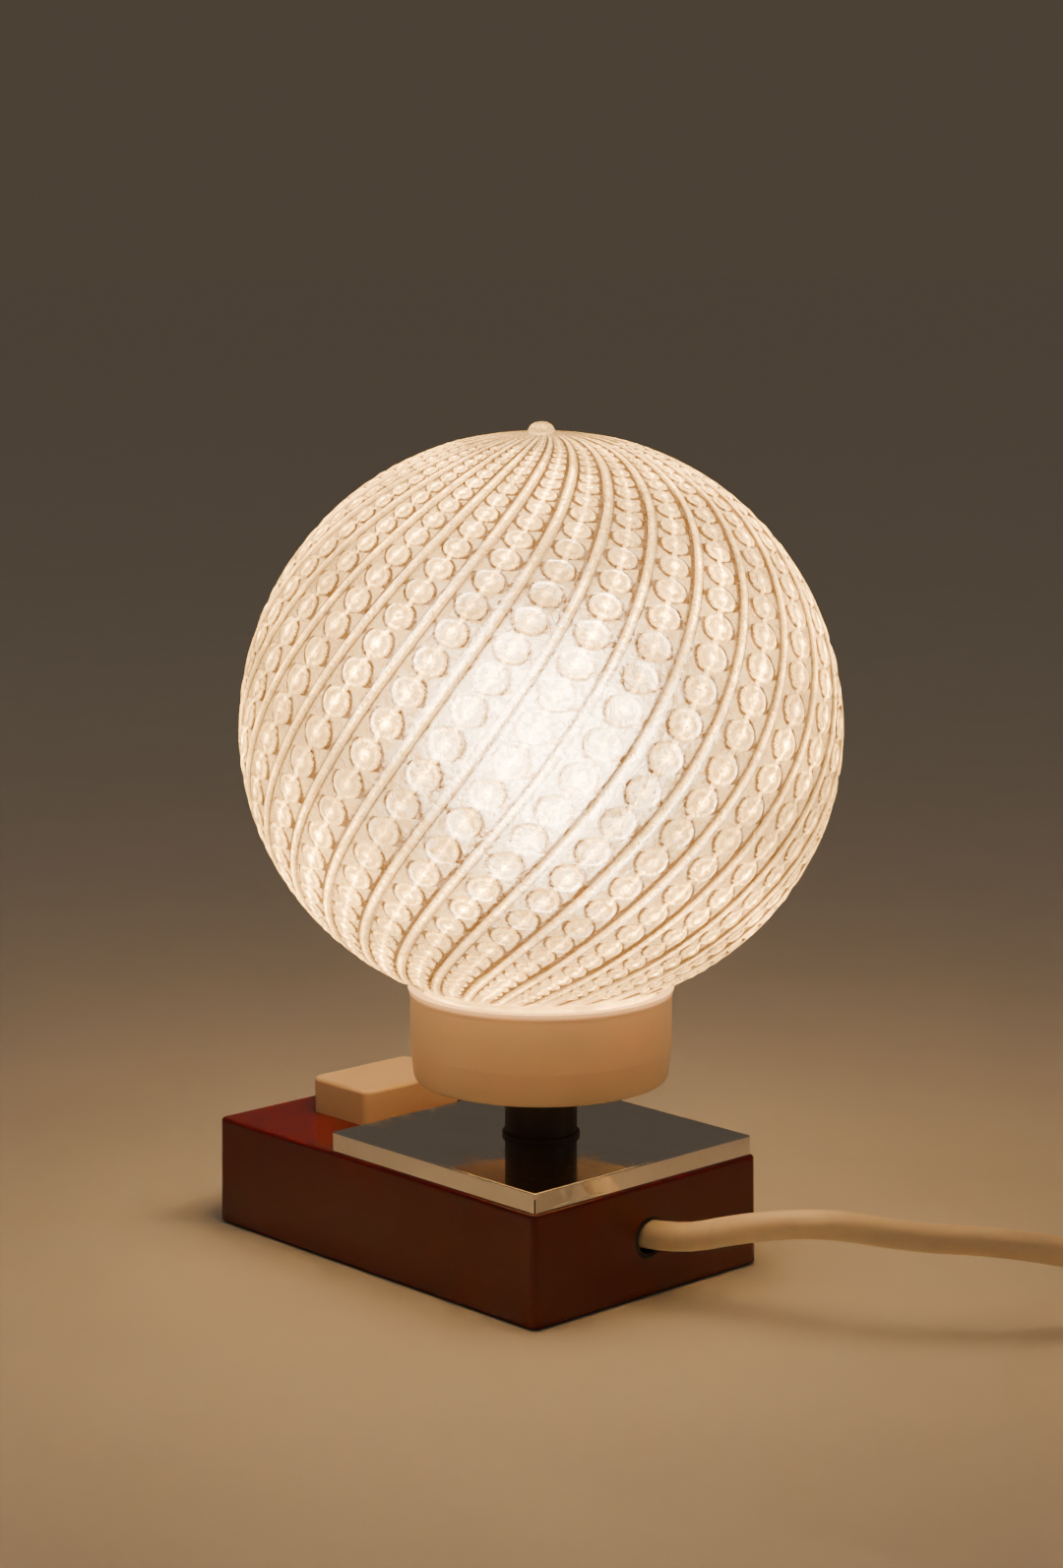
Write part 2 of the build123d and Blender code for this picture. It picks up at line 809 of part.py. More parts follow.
def plunger_top_z():
    return switch_top_z + plunger_above


def make_button_spring():
    """A helical spring from the switch's top to the button's roof."""
    z0, z1 = switch_top_z + spring_wire_r, button_top_z - button_roof - spring_wire_r
    steps = 4 * spring_turns
    spots, headings = [], []
    rise = (z1 - z0) / spring_turns
    for i in range(steps + 1):
        angle = 2 * math.pi * i / 4
        spots.append(Vector(button_x + spring_mean_r * math.cos(angle), spring_mean_r * math.sin(angle),
                            z0 + rise * i / 4))
        heading = Vector(-math.sin(angle), math.cos(angle), rise / (2 * math.pi * spring_mean_r))
        headings.append(heading.normalized())
    return tube_along(biarcs(spots, headings), spring_wire_r)


def switch_ear_top_z():
    return switch_bottom_z + switch_ear_z + switch_ear_height


def make_switch_body():
    half_x, half_y = switch_length / 2, switch_width / 2
    body = block(button_x - half_x, button_x + half_x, -half_y, half_y, switch_bottom_z, switch_top_z,
                 switch_corner_r)
    reach = half_y + switch_ear_reach
    ear = switch_ear_width / 2
    ear_z = switch_bottom_z + switch_ear_z
    body += block(button_x - ear, button_x + ear, -reach, reach, ear_z, ear_z + switch_ear_height,
                  switch_ear_corner_r)
    in_x, in_y = half_x - switch_wall, half_y - switch_wall
    cavity_z0, cavity_z1 = switch_bottom_z + switch_floor, switch_top_z - switch_wall
    body -= block(button_x - in_x, button_x + in_x, -in_y, in_y, cavity_z0, cavity_z1)
    body -= pillar(plunger_r + plunger_gap, cavity_z1, switch_top_z, button_x, 0)
    body += pillar(rotor_pin_r, cavity_z0, cavity_z0 + rotor_lift + rotor_height, button_x, 0)
    for side in (-1, 1):
        body -= pillar(screw_r + screw_hole_gap, ear_z, ear_z + switch_ear_height, button_x,
                       side * switch_screw_y)
        body -= blade(side)
    return body


def blade(side):
    """A contact blade that runs beside the rotor and out through the switch's wall."""
    y0 = rotor_r + blade_gap
    x1 = button_x + switch_length / 2
    z0 = switch_bottom_z + switch_floor + rotor_lift + blade_lift
    y = sorted((side * y0, side * (y0 + blade_thickness)))
    return block(x1 - blade_inner, x1 + blade_outer, y[0], y[1], z0, z0 + blade_height)


def blade_centre(side):
    """The outer end of a blade: x, y and z of its middle."""
    z0 = switch_bottom_z + switch_floor + rotor_lift + blade_lift
    y = side * (rotor_r + blade_gap + blade_thickness / 2)
    return button_x + switch_length / 2 + blade_outer, y, z0 + blade_height / 2


def make_switch_blades():
    return [blade(side) for side in (-1, 1)]


def make_switch_rotor():
    z0 = switch_bottom_z + switch_floor + rotor_lift
    core_r = rotor_r - rotor_lobe_r
    rotor = pillar(core_r, z0, z0 + rotor_height, button_x, 0)
    for i in range(rotor_lobes):
        angle = 2 * math.pi * i / rotor_lobes
        x, y = button_x + core_r * math.cos(angle), core_r * math.sin(angle)
        rotor += pillar(rotor_lobe_r, z0, z0 + rotor_height, x, y)
    return rotor - pillar(rotor_pin_r + rotor_pin_gap, z0, z0 + rotor_height, button_x, 0)


def make_switch_plunger():
    flange_top = switch_top_z - switch_wall - plunger_gap
    plunger = pillar(plunger_r, flange_top - plunger_flange_height, plunger_top_z(), button_x, 0)
    return plunger + pillar(plunger_flange_r, flange_top - plunger_flange_height, flange_top, button_x, 0)


def make_switch_screws():
    ear_z = switch_bottom_z + switch_ear_z
    length = switch_ear_height + switch_screw_length
    return [pan_screw(button_x, side * switch_screw_y, ear_z, length) for side in (-1, 1)]


def make_blade_sleeves():
    """Insulating sleeves over the ends of the switch's blades and their leads."""
    sleeves = []
    for side in (-1, 1):
        x, y, z = blade_centre(side)
        x0, x1 = x - boot_sleeve_length * 0.6, x + boot_sleeve_length * 0.4
        part = lying_cylinder(boot_sleeve_r, x0, x1, y, z)
        part -= blade(side)
        sleeves.append(part - lying_cylinder(lead_r, x, x1, y, z))
    return sleeves


def lead_up(side, start_points, bends):
    """A lead that turns up into the tube and ends in its terminal of the lampholder."""
    x = side * lead_offset
    top_z = insert_z - terminal_height
    knee_z = tube_top_z + lead_above_tube
    points = start_points + [
        (x, 0, knee_z),
        (side * terminal_offset, 0, (knee_z + top_z) / 2 + lead_knee_lift),
        (side * terminal_offset, 0, top_z + lead_entry),
    ]
    return rod(points, lead_r, bends + [lead_top_bend, lead_top_bend])


def make_neutral_lead():
    start = [
        (cord_inner_x, core_offset, cord_exit_z),
        (cord_inner_x - lead_straight, core_offset, cord_exit_z),
        (lead_offset, 0, cord_exit_z),
    ]
    return lead_up(1, start, [lead_bend, lead_bend])


def make_switched_lead():
    x, y, z = blade_centre(1)
    start = [
        (x + lead_end_gap, y, z),
        (x + lead_from_blade, y, z),
        (lead_turn_x, y, z + lead_rise[0]),
        (-lead_offset, 0, z + lead_rise[1]),
    ]
    return lead_up(-1, start, [lead_bend, lead_bend, lead_bend])


def make_live_lead():
    x, y, z = blade_centre(-1)
    points = [
        (cord_inner_x, -core_offset, cord_exit_z),
        (cord_inner_x - lead_straight, -core_offset, cord_exit_z),
        (0, live_lead_y, (cord_exit_z + z) / 2),
        (x + live_lead_reach[1], live_lead_y, z),
        (x + live_lead_reach[0], y, z),
        (x + lead_end_gap, y, z),
    ]
    return rod(points, lead_r, [lead_bend, lead_bend, lead_bend, lead_bend])


def make_cord_bushing():
    bore = cord_r + bushing_bore_gap
    end = base_x1 + base_flare / 2
    flange = lying_cylinder(bushing_flange_r, cavity_x1 - bushing_flange, cavity_x1, 0, cord_exit_z)
    body = lying_cylinder(bushing_r, cavity_x1, end, 0, cord_exit_z)
    return flange + body - lying_cylinder(bore, cavity_x1 - bushing_flange, end, 0, cord_exit_z)


def make_cord_clamp():
    top = cord_exit_z - cord_r - clamp_gap
    bar = block(clamp_x - clamp_length / 2, clamp_x + clamp_length / 2, -clamp_width / 2, clamp_width / 2,
                top - clamp_thickness, top, clamp_corner_r)
    for side in (-1, 1):
        bar -= pillar(screw_r + screw_hole_gap, top - clamp_thickness, top, clamp_x, side * clamp_screw_y)
    return bar


def make_cord_clamp_screws():
    head_z = cord_exit_z - cord_r - clamp_gap - clamp_thickness
    return [pan_screw(clamp_x, side * clamp_screw_y, head_z, screw_length) for side in (-1, 1)]


# The coil: where it starts, how it winds and where it ends
coil_turns = coil_whole_turns + coil_start_angle / 360
coil_spiral_turns = (coil_turns - 0.5) / 2
coil_outer_r = coil_mean_r + coil_pitch * coil_spiral_turns / 2
coil_inner_r = coil_outer_r - coil_pitch * coil_spiral_turns
coil_low_z = coil_lift + cord_r
coil_high_z = coil_low_z + coil_pitch


def coil_point(turn):
    """The cord's middle after so many turns, clockwise seen from above."""
    spiral = coil_spiral_turns
    if turn <= spiral:
        radius, z = coil_outer_r - coil_pitch * turn, coil_low_z
    elif turn >= spiral + 0.5:
        radius, z = coil_inner_r + coil_pitch * (turn - spiral - 0.5), coil_high_z
    else:
        share = (turn - spiral) / 0.5
        radius = coil_inner_r - coil_pitch / (2 * math.pi) * math.sin(math.pi * share)
        z = coil_low_z + coil_pitch * (1 - math.cos(math.pi * share)) / 2
    angle = math.radians(coil_start_angle - 360 * turn)
    return Vector(coil_centre[0] + radius * math.cos(angle), coil_centre[1] + radius * math.sin(angle), z)


def coil_heading(turn):
    step = 1e-5
    before, after = max(turn - step, 0.0), min(turn + step, coil_turns)
    return (coil_point(after) - coil_point(before)).normalized()


def coil_stops():
    """The turns at which the coil's quarter pieces meet."""
    spiral = coil_spiral_turns
    quarters = round(spiral * coil_steps_per_turn)
    inward = [spiral * i / quarters for i in range(quarters)]
    climb = [spiral, spiral + 0.25]
    outward = [spiral + 0.5 + spiral * i / quarters for i in range(quarters + 1)]
    return inward + climb + outward


def coil_lead_in():
    """The coil's straight ends: the point before its first turn and the one after its last."""
    first = coil_point(0) - coil_heading(0) * 2 * cord_r
    last = coil_point(coil_turns) + coil_heading(coil_turns) * 2 * cord_r
    return first, last


def biarcs(spots, headings):
    """Pairs of arcs that pass through the spots with the given headings and meet tangent to each other."""
    edges = []
    for p0, p1, t0, t1 in zip(spots, spots[1:], headings, headings[1:]):
        chord = p1 - p0
        both = t0 + t1
        a = both.dot(both) - 4
        b = -2 * chord.dot(both)
        c = chord.dot(chord)
        reach = (-b - math.sqrt(b * b - 4 * a * c)) / (2 * a)
        q0, q1 = p0 + t0 * reach, p1 - t1 * reach
        joint = (q0 + q1) * 0.5
        edges.append(TangentArc(p0, joint, tangent=t0))
        edges.append(TangentArc(joint, p1, tangent=(q1 - q0).normalized()))
    return edges


def tube_along(edges, radius):
    path = Wire(edges)
    return sweep(Plane(origin=path @ 0, z_dir=path % 0) * Circle(radius), path=path)


def coil_edges():
    stops = coil_stops()
    spots = [coil_point(t) for t in stops]
    headings = [coil_heading(t) for t in stops]
    first, last = coil_lead_in()
    return [Line(first, spots[0])] + biarcs(spots, headings) + [Line(spots[-1], last)]


def make_supply_cord_coil():
    return tube_along(coil_edges(), cord_r)


def supply_route():
    """The cord from its clamp inside the base to the coil."""
    first, _ = coil_lead_in()
    approach = first - coil_heading(0) * coil_approach
    return [Vector(cord_inner_x, 0, cord_exit_z), *(Vector(*point) for point in cord_bow), approach, first]


def route_radii(points):
    """The largest arc that the two runs at each corner allow."""
    radii = []
    for before, here, after in zip(points, points[1:], points[2:]):
        turn = math.radians((here - before).get_angle(after - here))
        run = min((here - before).length, (after - here).length)
        radii.append(0.45 * run / math.tan(turn / 2))
    return radii


def make_supply_cord():
    points = supply_route()
    return rod(points, cord_r, route_radii(points))


def tail_end():
    _, last = coil_lead_in()
    return last + coil_heading(coil_turns) * tail_length


def make_supply_cord_tail():
    _, last = coil_lead_in()
    return rod_straight(last, tail_end(), cord_r)


def rod_straight(start, end, radius):
    heading = end - start
    return extrude(Plane(origin=start, z_dir=heading) * Circle(radius), heading.length)


def plug_plane(distance):
    """A plane across the plug, so far from the boot's back, that faces the pins."""
    heading = coil_heading(coil_turns)
    across = Vector(0, 0, 1).cross(heading)
    return Plane(origin=tail_end() + heading * distance, x_dir=across, z_dir=heading)


def make_plug_boot():
    tip = plug_plane(0) * Circle(plug_boot_tip_r)
    root = plug_plane(plug_boot_length) * Circle(plug_boot_root_r)
    return loft([tip, root])


def make_plug_body():
    outline = RectangleRounded(plug_width, plug_thickness, plug_corner_r)
    body = extrude(plug_plane(plug_boot_length) * outline, plug_length)
    back = body.edges().filter_by(lambda e: (e.center() - tail_end()).dot(coil_heading(coil_turns))
                                  < plug_boot_length + 0.01)
    body = fillet(back, plug_back_r)
    for side in (-1, 1):
        body -= extrude(pin_root(side) * Circle(plug_pin_r), plug_pin_seat)
    return body


def pin_root(side):
    """The plane in the plug's body where a pin starts."""
    return plug_plane(plug_boot_length + plug_length - plug_pin_seat) * Pos(side * plug_pin_spacing / 2, 0)


def make_plug_pins():
    pins = []
    for side in (-1, 1):
        pin = extrude(pin_root(side) * Circle(plug_pin_r), plug_pin_length + plug_pin_seat)
        tip = pin.edges().sort_by(lambda e: (e.center() - tail_end()).dot(coil_heading(coil_turns)))[-1]
        pins.append(fillet(tip, plug_pin_r * 0.6))
    return pins


def make_cord_tie():
    """A strap that wraps the bundle of turns, with its fastener on top."""
    turns = [(coil_start_angle - tie_angle) / 360 % 1.0 + k for k in range(int(coil_turns) + 1)]
    radii = [
        (coil_point(t) - Vector(*coil_centre, coil_point(t).Z)).length for t in turns if t <= coil_turns
    ]
    sag = tie_width**2 / (8 * (min(radii) - cord_r))
    inner, outer = min(radii) - cord_r - sag - tie_side_gap, max(radii) + cord_r + tie_side_gap
    low, high = coil_lift - tie_gap, coil_high_z + cord_r + tie_gap
    strap = block(inner - tie_strap, outer + tie_strap, -tie_width / 2, tie_width / 2,
                  low - tie_strap, high + tie_strap)
    strap = fillet(strap.edges().filter_by(Axis.Y), tie_strap)
    strap -= block(inner, outer, -tie_width / 2, tie_width / 2, low, high)
    length, width, height = tie_knot
    middle = (inner + outer) / 2
    knot = block(middle - length / 2, middle + length / 2, -width / 2, width / 2, high + tie_strap,
                 high + tie_strap + height, tie_knot_corner_r)
    knot = fillet(knot.edges().group_by(Axis.Z)[-1], tie_knot_edge_r)
    return Pos(coil_centre[0], coil_centre[1], 0) * Rot(0, 0, tie_angle) * (strap + knot)


MAKERS = {
    "base_housing": make_base_housing,
    "base_plate": make_base_plate,
    "base_plate_screws": make_base_plate_screws,
    "felt_pad": make_felt_pad,
    "cap_plate": make_cap_plate,
    "stem_ring": make_stem_ring,
    "stem_sleeve": make_stem_sleeve,
    "threaded_tube": make_threaded_tube,
    "tube_lower_washer": make_lower_washer,
    "tube_lower_nut": make_lower_nut,
    "tube_upper_washer": make_upper_washer,
    "tube_upper_nut": make_upper_nut,
    "collar": make_collar,
    "neck_wave_spring": make_wave_spring,
    "neck_gasket": make_neck_gasket,
    "glass_globe": make_glass_globe,
    "lampholder_cup": make_holder_cup,
    "lampholder_skirt": make_holder_skirt,
    "lampholder_insert": make_holder_insert,
    "lampholder_terminals": make_holder_terminals,
    "lampholder_terminal_screws": make_holder_terminal_screws,
    "lampholder_thread_shell": make_holder_shell,
    "lampholder_contact": make_holder_contact,
    "bulb_contact": make_bulb_contact,
    "bulb_insulator": make_bulb_insulator,
    "bulb_cap": make_bulb_cap,
    "bulb_glass": make_bulb_glass,
    "bulb_stem": make_bulb_stem,
    "bulb_supports": make_bulb_supports,
    "bulb_filament": make_bulb_filament,
    "switch_button": make_switch_button,
    "switch_spring": make_button_spring,
    "switch_body": make_switch_body,
    "switch_plunger": make_switch_plunger,
    "switch_rotor": make_switch_rotor,
    "switch_blades": make_switch_blades,
    "switch_blade_sleeves": make_blade_sleeves,
    "switch_screws": make_switch_screws,
    "neutral_lead": make_neutral_lead,
    "live_lead": make_live_lead,
    "switched_lead": make_switched_lead,
    "cord_bushing": make_cord_bushing,
    "cord_clamp": make_cord_clamp,
    "cord_clamp_screws": make_cord_clamp_screws,
    "supply_cord": make_supply_cord,
    "supply_cord_coil": make_supply_cord_coil,
    "supply_cord_tail": make_supply_cord_tail,
    "cord_tie": make_cord_tie,
    "plug_boot": make_plug_boot,
    "plug_body": make_plug_body,
    "plug_pins": make_plug_pins,
}


def coil_gap():
    """The least space between two turns of the coil, measured on points along it."""
    samples = []
    for edge in coil_edges():
        count = max(2, round(edge.length / 3))
        samples += [edge @ (i / count) for i in range(count)]
    skip = round(4 * cord_r)
    least = math.inf
    for i, point in enumerate(samples):
        for other in samples[i + skip:]:
            least = min(least, (point - other).length)
    return least - 2 * cord_r


def report_cord(made):
    points = supply_route()
    path = FilletPolyline(*points, radius=route_radii(points))
    print("supply cord radii", [round(r, 1) for r in route_radii(points)])
    coil_length = sum(edge.length for edge in coil_edges())
    lengths = {"supply_cord": path.length, "supply_cord_coil": coil_length, "supply_cord_tail": tail_length}
    for node, length in lengths.items():
        share = made[node].volume / (math.pi * cord_r**2 * length)
        print(node, "length", round(length, 1), "volume over section times length", round(share, 5))
    print("whole cord", round(sum(lengths.values()), 1), "coil gap to itself", round(coil_gap(), 2))


def main():
    os.makedirs("parts", exist_ok=True)
    made = {}
    for node, maker in MAKERS.items():
        shape = maker()
        solids = shape if isinstance(shape, list) else [shape]
        solids = [solid for piece in solids for solid in piece.solids()]
        made[node] = solids[0] if len(solids) == 1 else Compound(children=solids)
        export_step(made[node], f"parts/{node}.step")
    report_cord(made)


if __name__ == "__main__":
    main()
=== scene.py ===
"""Finishes, pressed glass, cord and stage of a bedside night light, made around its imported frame.

Metres, +Z up. The origin lies on the table under the lamp's axis, the cord leaves the base at +X, and
the push button is at the -X end. Each operator makes one piece or group of like pieces, and the settings
hold the sizes and colours that a user would change.
"""

import math

import bpy
import numpy as np
from bpy.props import FloatProperty, FloatVectorProperty, IntProperty, PointerProperty
from bpy.types import Operator, Panel, PropertyGroup
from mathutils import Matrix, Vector


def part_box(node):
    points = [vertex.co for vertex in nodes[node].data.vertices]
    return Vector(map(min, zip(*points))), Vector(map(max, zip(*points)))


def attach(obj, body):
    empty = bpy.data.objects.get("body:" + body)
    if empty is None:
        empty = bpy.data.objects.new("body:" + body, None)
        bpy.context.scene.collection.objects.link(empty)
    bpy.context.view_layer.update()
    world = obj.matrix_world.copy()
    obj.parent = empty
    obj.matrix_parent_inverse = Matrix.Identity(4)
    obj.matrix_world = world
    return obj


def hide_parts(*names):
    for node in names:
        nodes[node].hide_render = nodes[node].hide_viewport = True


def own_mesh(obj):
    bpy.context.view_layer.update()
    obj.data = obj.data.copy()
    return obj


bl_info = {
    "name": "Night Light with Swirl Glass Globe",
    "version": (1, 0, 0),
    "blender": (4, 5, 0),
    "location": "View3D > Sidebar > Night Light",
    "description": "Makes the finishes, pressed glass, cord and stage of a small table lamp",
    "category": "Object",
}

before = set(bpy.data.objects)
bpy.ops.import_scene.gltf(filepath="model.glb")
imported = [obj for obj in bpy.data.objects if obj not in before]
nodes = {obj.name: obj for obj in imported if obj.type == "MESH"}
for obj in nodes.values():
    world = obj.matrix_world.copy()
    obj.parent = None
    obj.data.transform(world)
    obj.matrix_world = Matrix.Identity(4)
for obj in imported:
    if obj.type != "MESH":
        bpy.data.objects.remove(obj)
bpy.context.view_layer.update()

MM = 0.001

# The globe's outline, and how deep its plain glass lies under it to leave room for the relief
globe_low, globe_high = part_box("glass_globe")
globe_nub = 1.3 * MM
globe_radius = 75.0 * MM
globe_skin = 0.95 * MM
globe_centre_z = globe_high.z - globe_nub - globe_radius
globe_under = 0.944 * globe_radius
globe_wall = 3.0 * MM
neck_radius = 29.0 * MM
neck_wall = 3.0 * MM
nub_radius = 3.2 * MM
nub_roundness = 2.6
nub_spare = 0.05 * MM

# Where the pressed mesh has its lines: across half a row, and along half of a boss's spacing
row_steps = [0.0, 0.06, 0.12, 0.165, 0.2, 0.235, 0.265, 0.29, 0.315, 0.355, 0.41, 0.44, 0.465, 0.485]
boss_steps = [0.0, 0.07, 0.14, 0.21, 0.28, 0.35, 0.41, 0.455]

# How the glass bends light, how much of the lamps' light each face lets by, and the painted glow of the
# neck
glass_ior = 1.5
light_passed = (0.444, 0.373, 0.286)
neck_painted_light = 0.5

dust_colour = (0.62, 0.57, 0.5)

# The cord's size and its route outside its coil, as the part's source has it
cord_radius = 3.65 * MM
cord_points = [
    (21.0, 0.0, 15.2),
    (44.5, 0.0, 15.2),
    (63.5, 9.0, 21.6),
    (82.0, 17.0, 25.2),
    (97.0, 31.0, 21.8),
    (111.5, 46.0, 21.0),
    (127.5, 62.3, 17.2),
]
coil_centre = (197.5, 55.0)
coil_mean_radius = 39.0
coil_pitch = 7.9
coil_start = 125.0
coil_turns = 6 + coil_start / 360
coil_climb = 0.5
coil_lift = 0.7
coil_approach = 21.0
coil_steps = 16
tail_length = 28.0

# The leads between cord, switch and lampholder, corner by corner
lead_radius = 1.1 * MM
lead_bend = 4.0
lead_bend_share = 0.4
lead_routes = {
    "neutral_lead": [
        (21.0, 1.6, 15.2), (14.0, 1.6, 15.2), (1.9, 0.0, 15.2), (1.9, 0.0, 61.6), (6.2, 0.0, 65.4),
        (6.2, 0.0, 71.0)],
    "live_lead": [
        (21.0, -1.6, 15.2), (14.0, -1.6, 15.2), (0.0, -8.0, 11.5), (-31.0, -8.0, 7.8), (-37.0, -5.0, 7.8),
        (-44.8, -5.0, 7.8)],
    "switched_lead": [
        (-44.8, 5.0, 7.8), (-36.0, 5.0, 7.8), (-12.0, 5.0, 11.3), (-1.9, 0.0, 13.3), (-1.9, 0.0, 61.6),
        (-6.2, 0.0, 65.4), (-6.2, 0.0, 71.0)],
}


def number(name, description, default, **fit):
    return FloatProperty(name=name, description=description, default=default, **fit)


def length(name, description, default):
    return number(name, description, default, unit="LENGTH")


def hue(name, description, default):
    return FloatVectorProperty(name=name, description=description, default=default, subtype="COLOR")


class GlobeSettings(PropertyGroup):
    """Sizes of the relief that is pressed into the globe."""

    panels: IntProperty(name="Rows of bosses", description="Rows round the globe", default=26, min=8)
    first_row: number("First row", "Heading of the first row, before its sweep", math.radians(34.4),
                      unit="ROTATION")
    sweep: number("Sweep", "How far a row turns round the globe for each degree down", 0.62)
    boss_spacing: number("Boss spacing", "Angle between two bosses of a row at the middle",
                         math.radians(5.85), unit="ROTATION")
    boss_share: number("Boss width", "Share of a row's width that its bosses take", 0.6)
    boss_height: length("Boss height", "How far a boss stands out", 0.8 * MM)
    ridge_height: length("Ridge height", "Height of the ridge between two rows", 0.75 * MM)
    ridge_width: length("Ridge width", "From a ridge's crest to its foot", 1.25 * MM)
    roughness: number("Roughness", "Blur of the pressed faces", 0.03)
    haze: number("Haze", "Blur of the globe's inner face", 0.72)
    # Glow and its colour set the painted glow on the glass, which stands in for the bulb's light scattered
    # in it
    glow: number("Glow", "Light that the glass scatters", 4.0)
    glow_colour: hue("Scattered light", "Colour of the light in the glass", (1.0, 0.50, 0.10))
    tint: hue("Glass", "Colour of the glass", (0.985, 0.975, 0.94))


class BulbSettings(PropertyGroup):
    """The lit bulb."""

    power: number("Glow", "Brightness of the bulb's surface", 500.0)
    colour: hue("Light", "Colour of the bulb's light", (1.0, 0.78, 0.52))


class FinishSettings(PropertyGroup):
    """Colours of the lamp's plastics and paint."""

    red: hue("Base", "Dark red of the base", (0.10, 0.002, 0.0015))
    cream: hue("Cream", "Cup and push button", (0.74, 0.57, 0.39))
    cord: hue("Cord", "Sheath of the mains cord", (0.82, 0.69, 0.50))
    stem: hue("Stem", "Paint of the stem", (0.045, 0.027, 0.02))
    chrome_roughness: number("Chrome", "Least roughness of the cap plate", 0.045)


class StageSettings(PropertyGroup):
    """Floor, light and camera."""

    floor: hue("Floor", "Colour of the floor", (0.72, 0.69, 0.65))
    sky: number("Room light", "Brightness of the even light", 0.11)
    key: number("Main lamp", "Power of the main soft lamp in watts", 1.7)
    lens: number("Lens", "Focal length for a 36 mm sensor on the long side", 74.6)


class Nodes:
    """A node tree of a material or a world, and short ways to add to it."""

    def __init__(self, owner):
        owner.use_nodes = True
        self.tree = owner.node_tree

    def add(self, kind, **settings):
        node = self.tree.nodes.new(kind)
        for name, value in settings.items():
            setattr(node, name, value)
        return node

    def feed(self, source, target):
        """Links a socket to an input, or writes a plain value on it."""
        if isinstance(source, bpy.types.NodeSocket):
            self.tree.links.new(source, target)
        else:
            target.default_value = source

    def upward(self, vector):
        """The upward share of a place or a direction."""
        split = self.add("ShaderNodeSeparateXYZ")
        self.feed(vector, split.inputs[0])
        return split.outputs["Z"]

    def spread(self, fac, start, end, low=0.0, high=1.0):
        """Maps a span of one value to another span, and holds it at both ends."""
        span = self.add("ShaderNodeMapRange")
        self.feed(fac, span.inputs["Value"])
        for socket, value in (("From Min", start), ("From Max", end), ("To Min", low), ("To Max", high)):
            span.inputs[socket].default_value = value
        return span.outputs["Result"]

    def maths(self, operation, first, second):
        node = self.add("ShaderNodeMath", operation=operation)
        self.feed(first, node.inputs[0])
        self.feed(second, node.inputs[1])
        return node.outputs["Value"]

    def product(self, first, *others):
        for other in others:
            first = self.maths("MULTIPLY", first, other)
        return first

    def mix(self, fac, first, second):
        """A colour between two colours."""
        node = self.add("ShaderNodeMix", data_type="RGBA")
        self.feed(fac, node.inputs["Factor"])
        for colour, target in ((first, node.inputs[6]), (second, node.inputs[7])):
            self.feed(colour if isinstance(colour, bpy.types.NodeSocket) else (*colour, 1.0), target)
        return node.outputs[2]


class Finish(Nodes):
    """One procedural material: its surface shader, its patterns and what they do to the surface."""

    def __init__(self, name, colour, roughness=0.5, **sockets):
        self.material = bpy.data.materials.new(name)
        super().__init__(self.material)
        self.surface = self.tree.nodes["Principled BSDF"]
        self.set("Base Color", (*colour, 1.0))
        self.set("Roughness", roughness)
        for socket, value in sockets.items():
            self.set(socket.replace("_", " "), value)
        self.place = self.add("ShaderNodeTexCoord").outputs["Object"]

    def set(self, socket, value):
        self.surface.inputs[socket].default_value = value

    def wire(self, socket, source):
        """Feeds one of the surface shader's inputs."""
        self.feed(source, self.surface.inputs[socket])

    def fed_by(self, socket):
        """What feeds one of the surface shader's inputs so far."""
        return self.surface.inputs[socket].links[0].from_socket

    def lit(self, colour, strength):
        """Gives off light of this colour."""
        self.set("Emission Color", (*colour, 1.0))
        self.wire("Emission Strength", strength)

    def noise(self, size, detail=3.0, roughness=0.55, distortion=0.0, stretch=(1, 1, 1), turn=0.0):
        """Soft random patches of about this size."""
        place = self.add("ShaderNodeMapping")
        self.feed(self.place, place.inputs["Vector"])
        place.inputs["Rotation"].default_value = (0.0, 0.0, turn)
        place.inputs["Scale"].default_value = stretch
        noise = self.add("ShaderNodeTexNoise")
        self.feed(place.outputs["Vector"], noise.inputs["Vector"])
        for socket, value in (("Scale", 1 / size), ("Detail", detail), ("Roughness", roughness),
                              ("Distortion", distortion)):
            noise.inputs[socket].default_value = value
        return noise.outputs["Fac"]

    def cells(self, size):
        """Distance from the edges of random cells of about this size."""
        cells = self.add("ShaderNodeTexVoronoi", feature="DISTANCE_TO_EDGE")
        self.feed(self.place, cells.inputs["Vector"])
        cells.inputs["Scale"].default_value = 1 / size
        return cells.outputs["Distance"]

    def level(self):
        """The height above the table."""
        return self.upward(self.place)

    def bump(self, height, depth, strength=1.0):
        """Raises the surface by a height pattern, up to depth, over what is raised already."""
        bump = self.add("ShaderNodeBump")
        before = self.surface.inputs["Normal"]
        if before.is_linked:
            self.feed(before.links[0].from_socket, bump.inputs["Normal"])
        self.feed(height, bump.inputs["Height"])
        bump.inputs["Distance"].default_value = depth
        bump.inputs["Strength"].default_value = strength
        self.feed(bump.outputs["Normal"], before)

    def dust(self, colour, amount):
        """Specks of dust on what faces up."""
        specks = self.spread(self.noise(0.7 * MM, detail=2.0, roughness=0.7), 0.63, 0.74)
        patches = self.spread(self.noise(22 * MM), 0.42, 0.7)
        facing_up = self.spread(self.upward(self.add("ShaderNodeNewGeometry").outputs["Normal"]), 0.6, 0.98)
        return self.mix(self.product(specks, patches, facing_up, amount), colour, dust_colour)


def shaded(colour, share):
    """A darker or lighter step of a colour."""
    return tuple(share * c for c in colour)


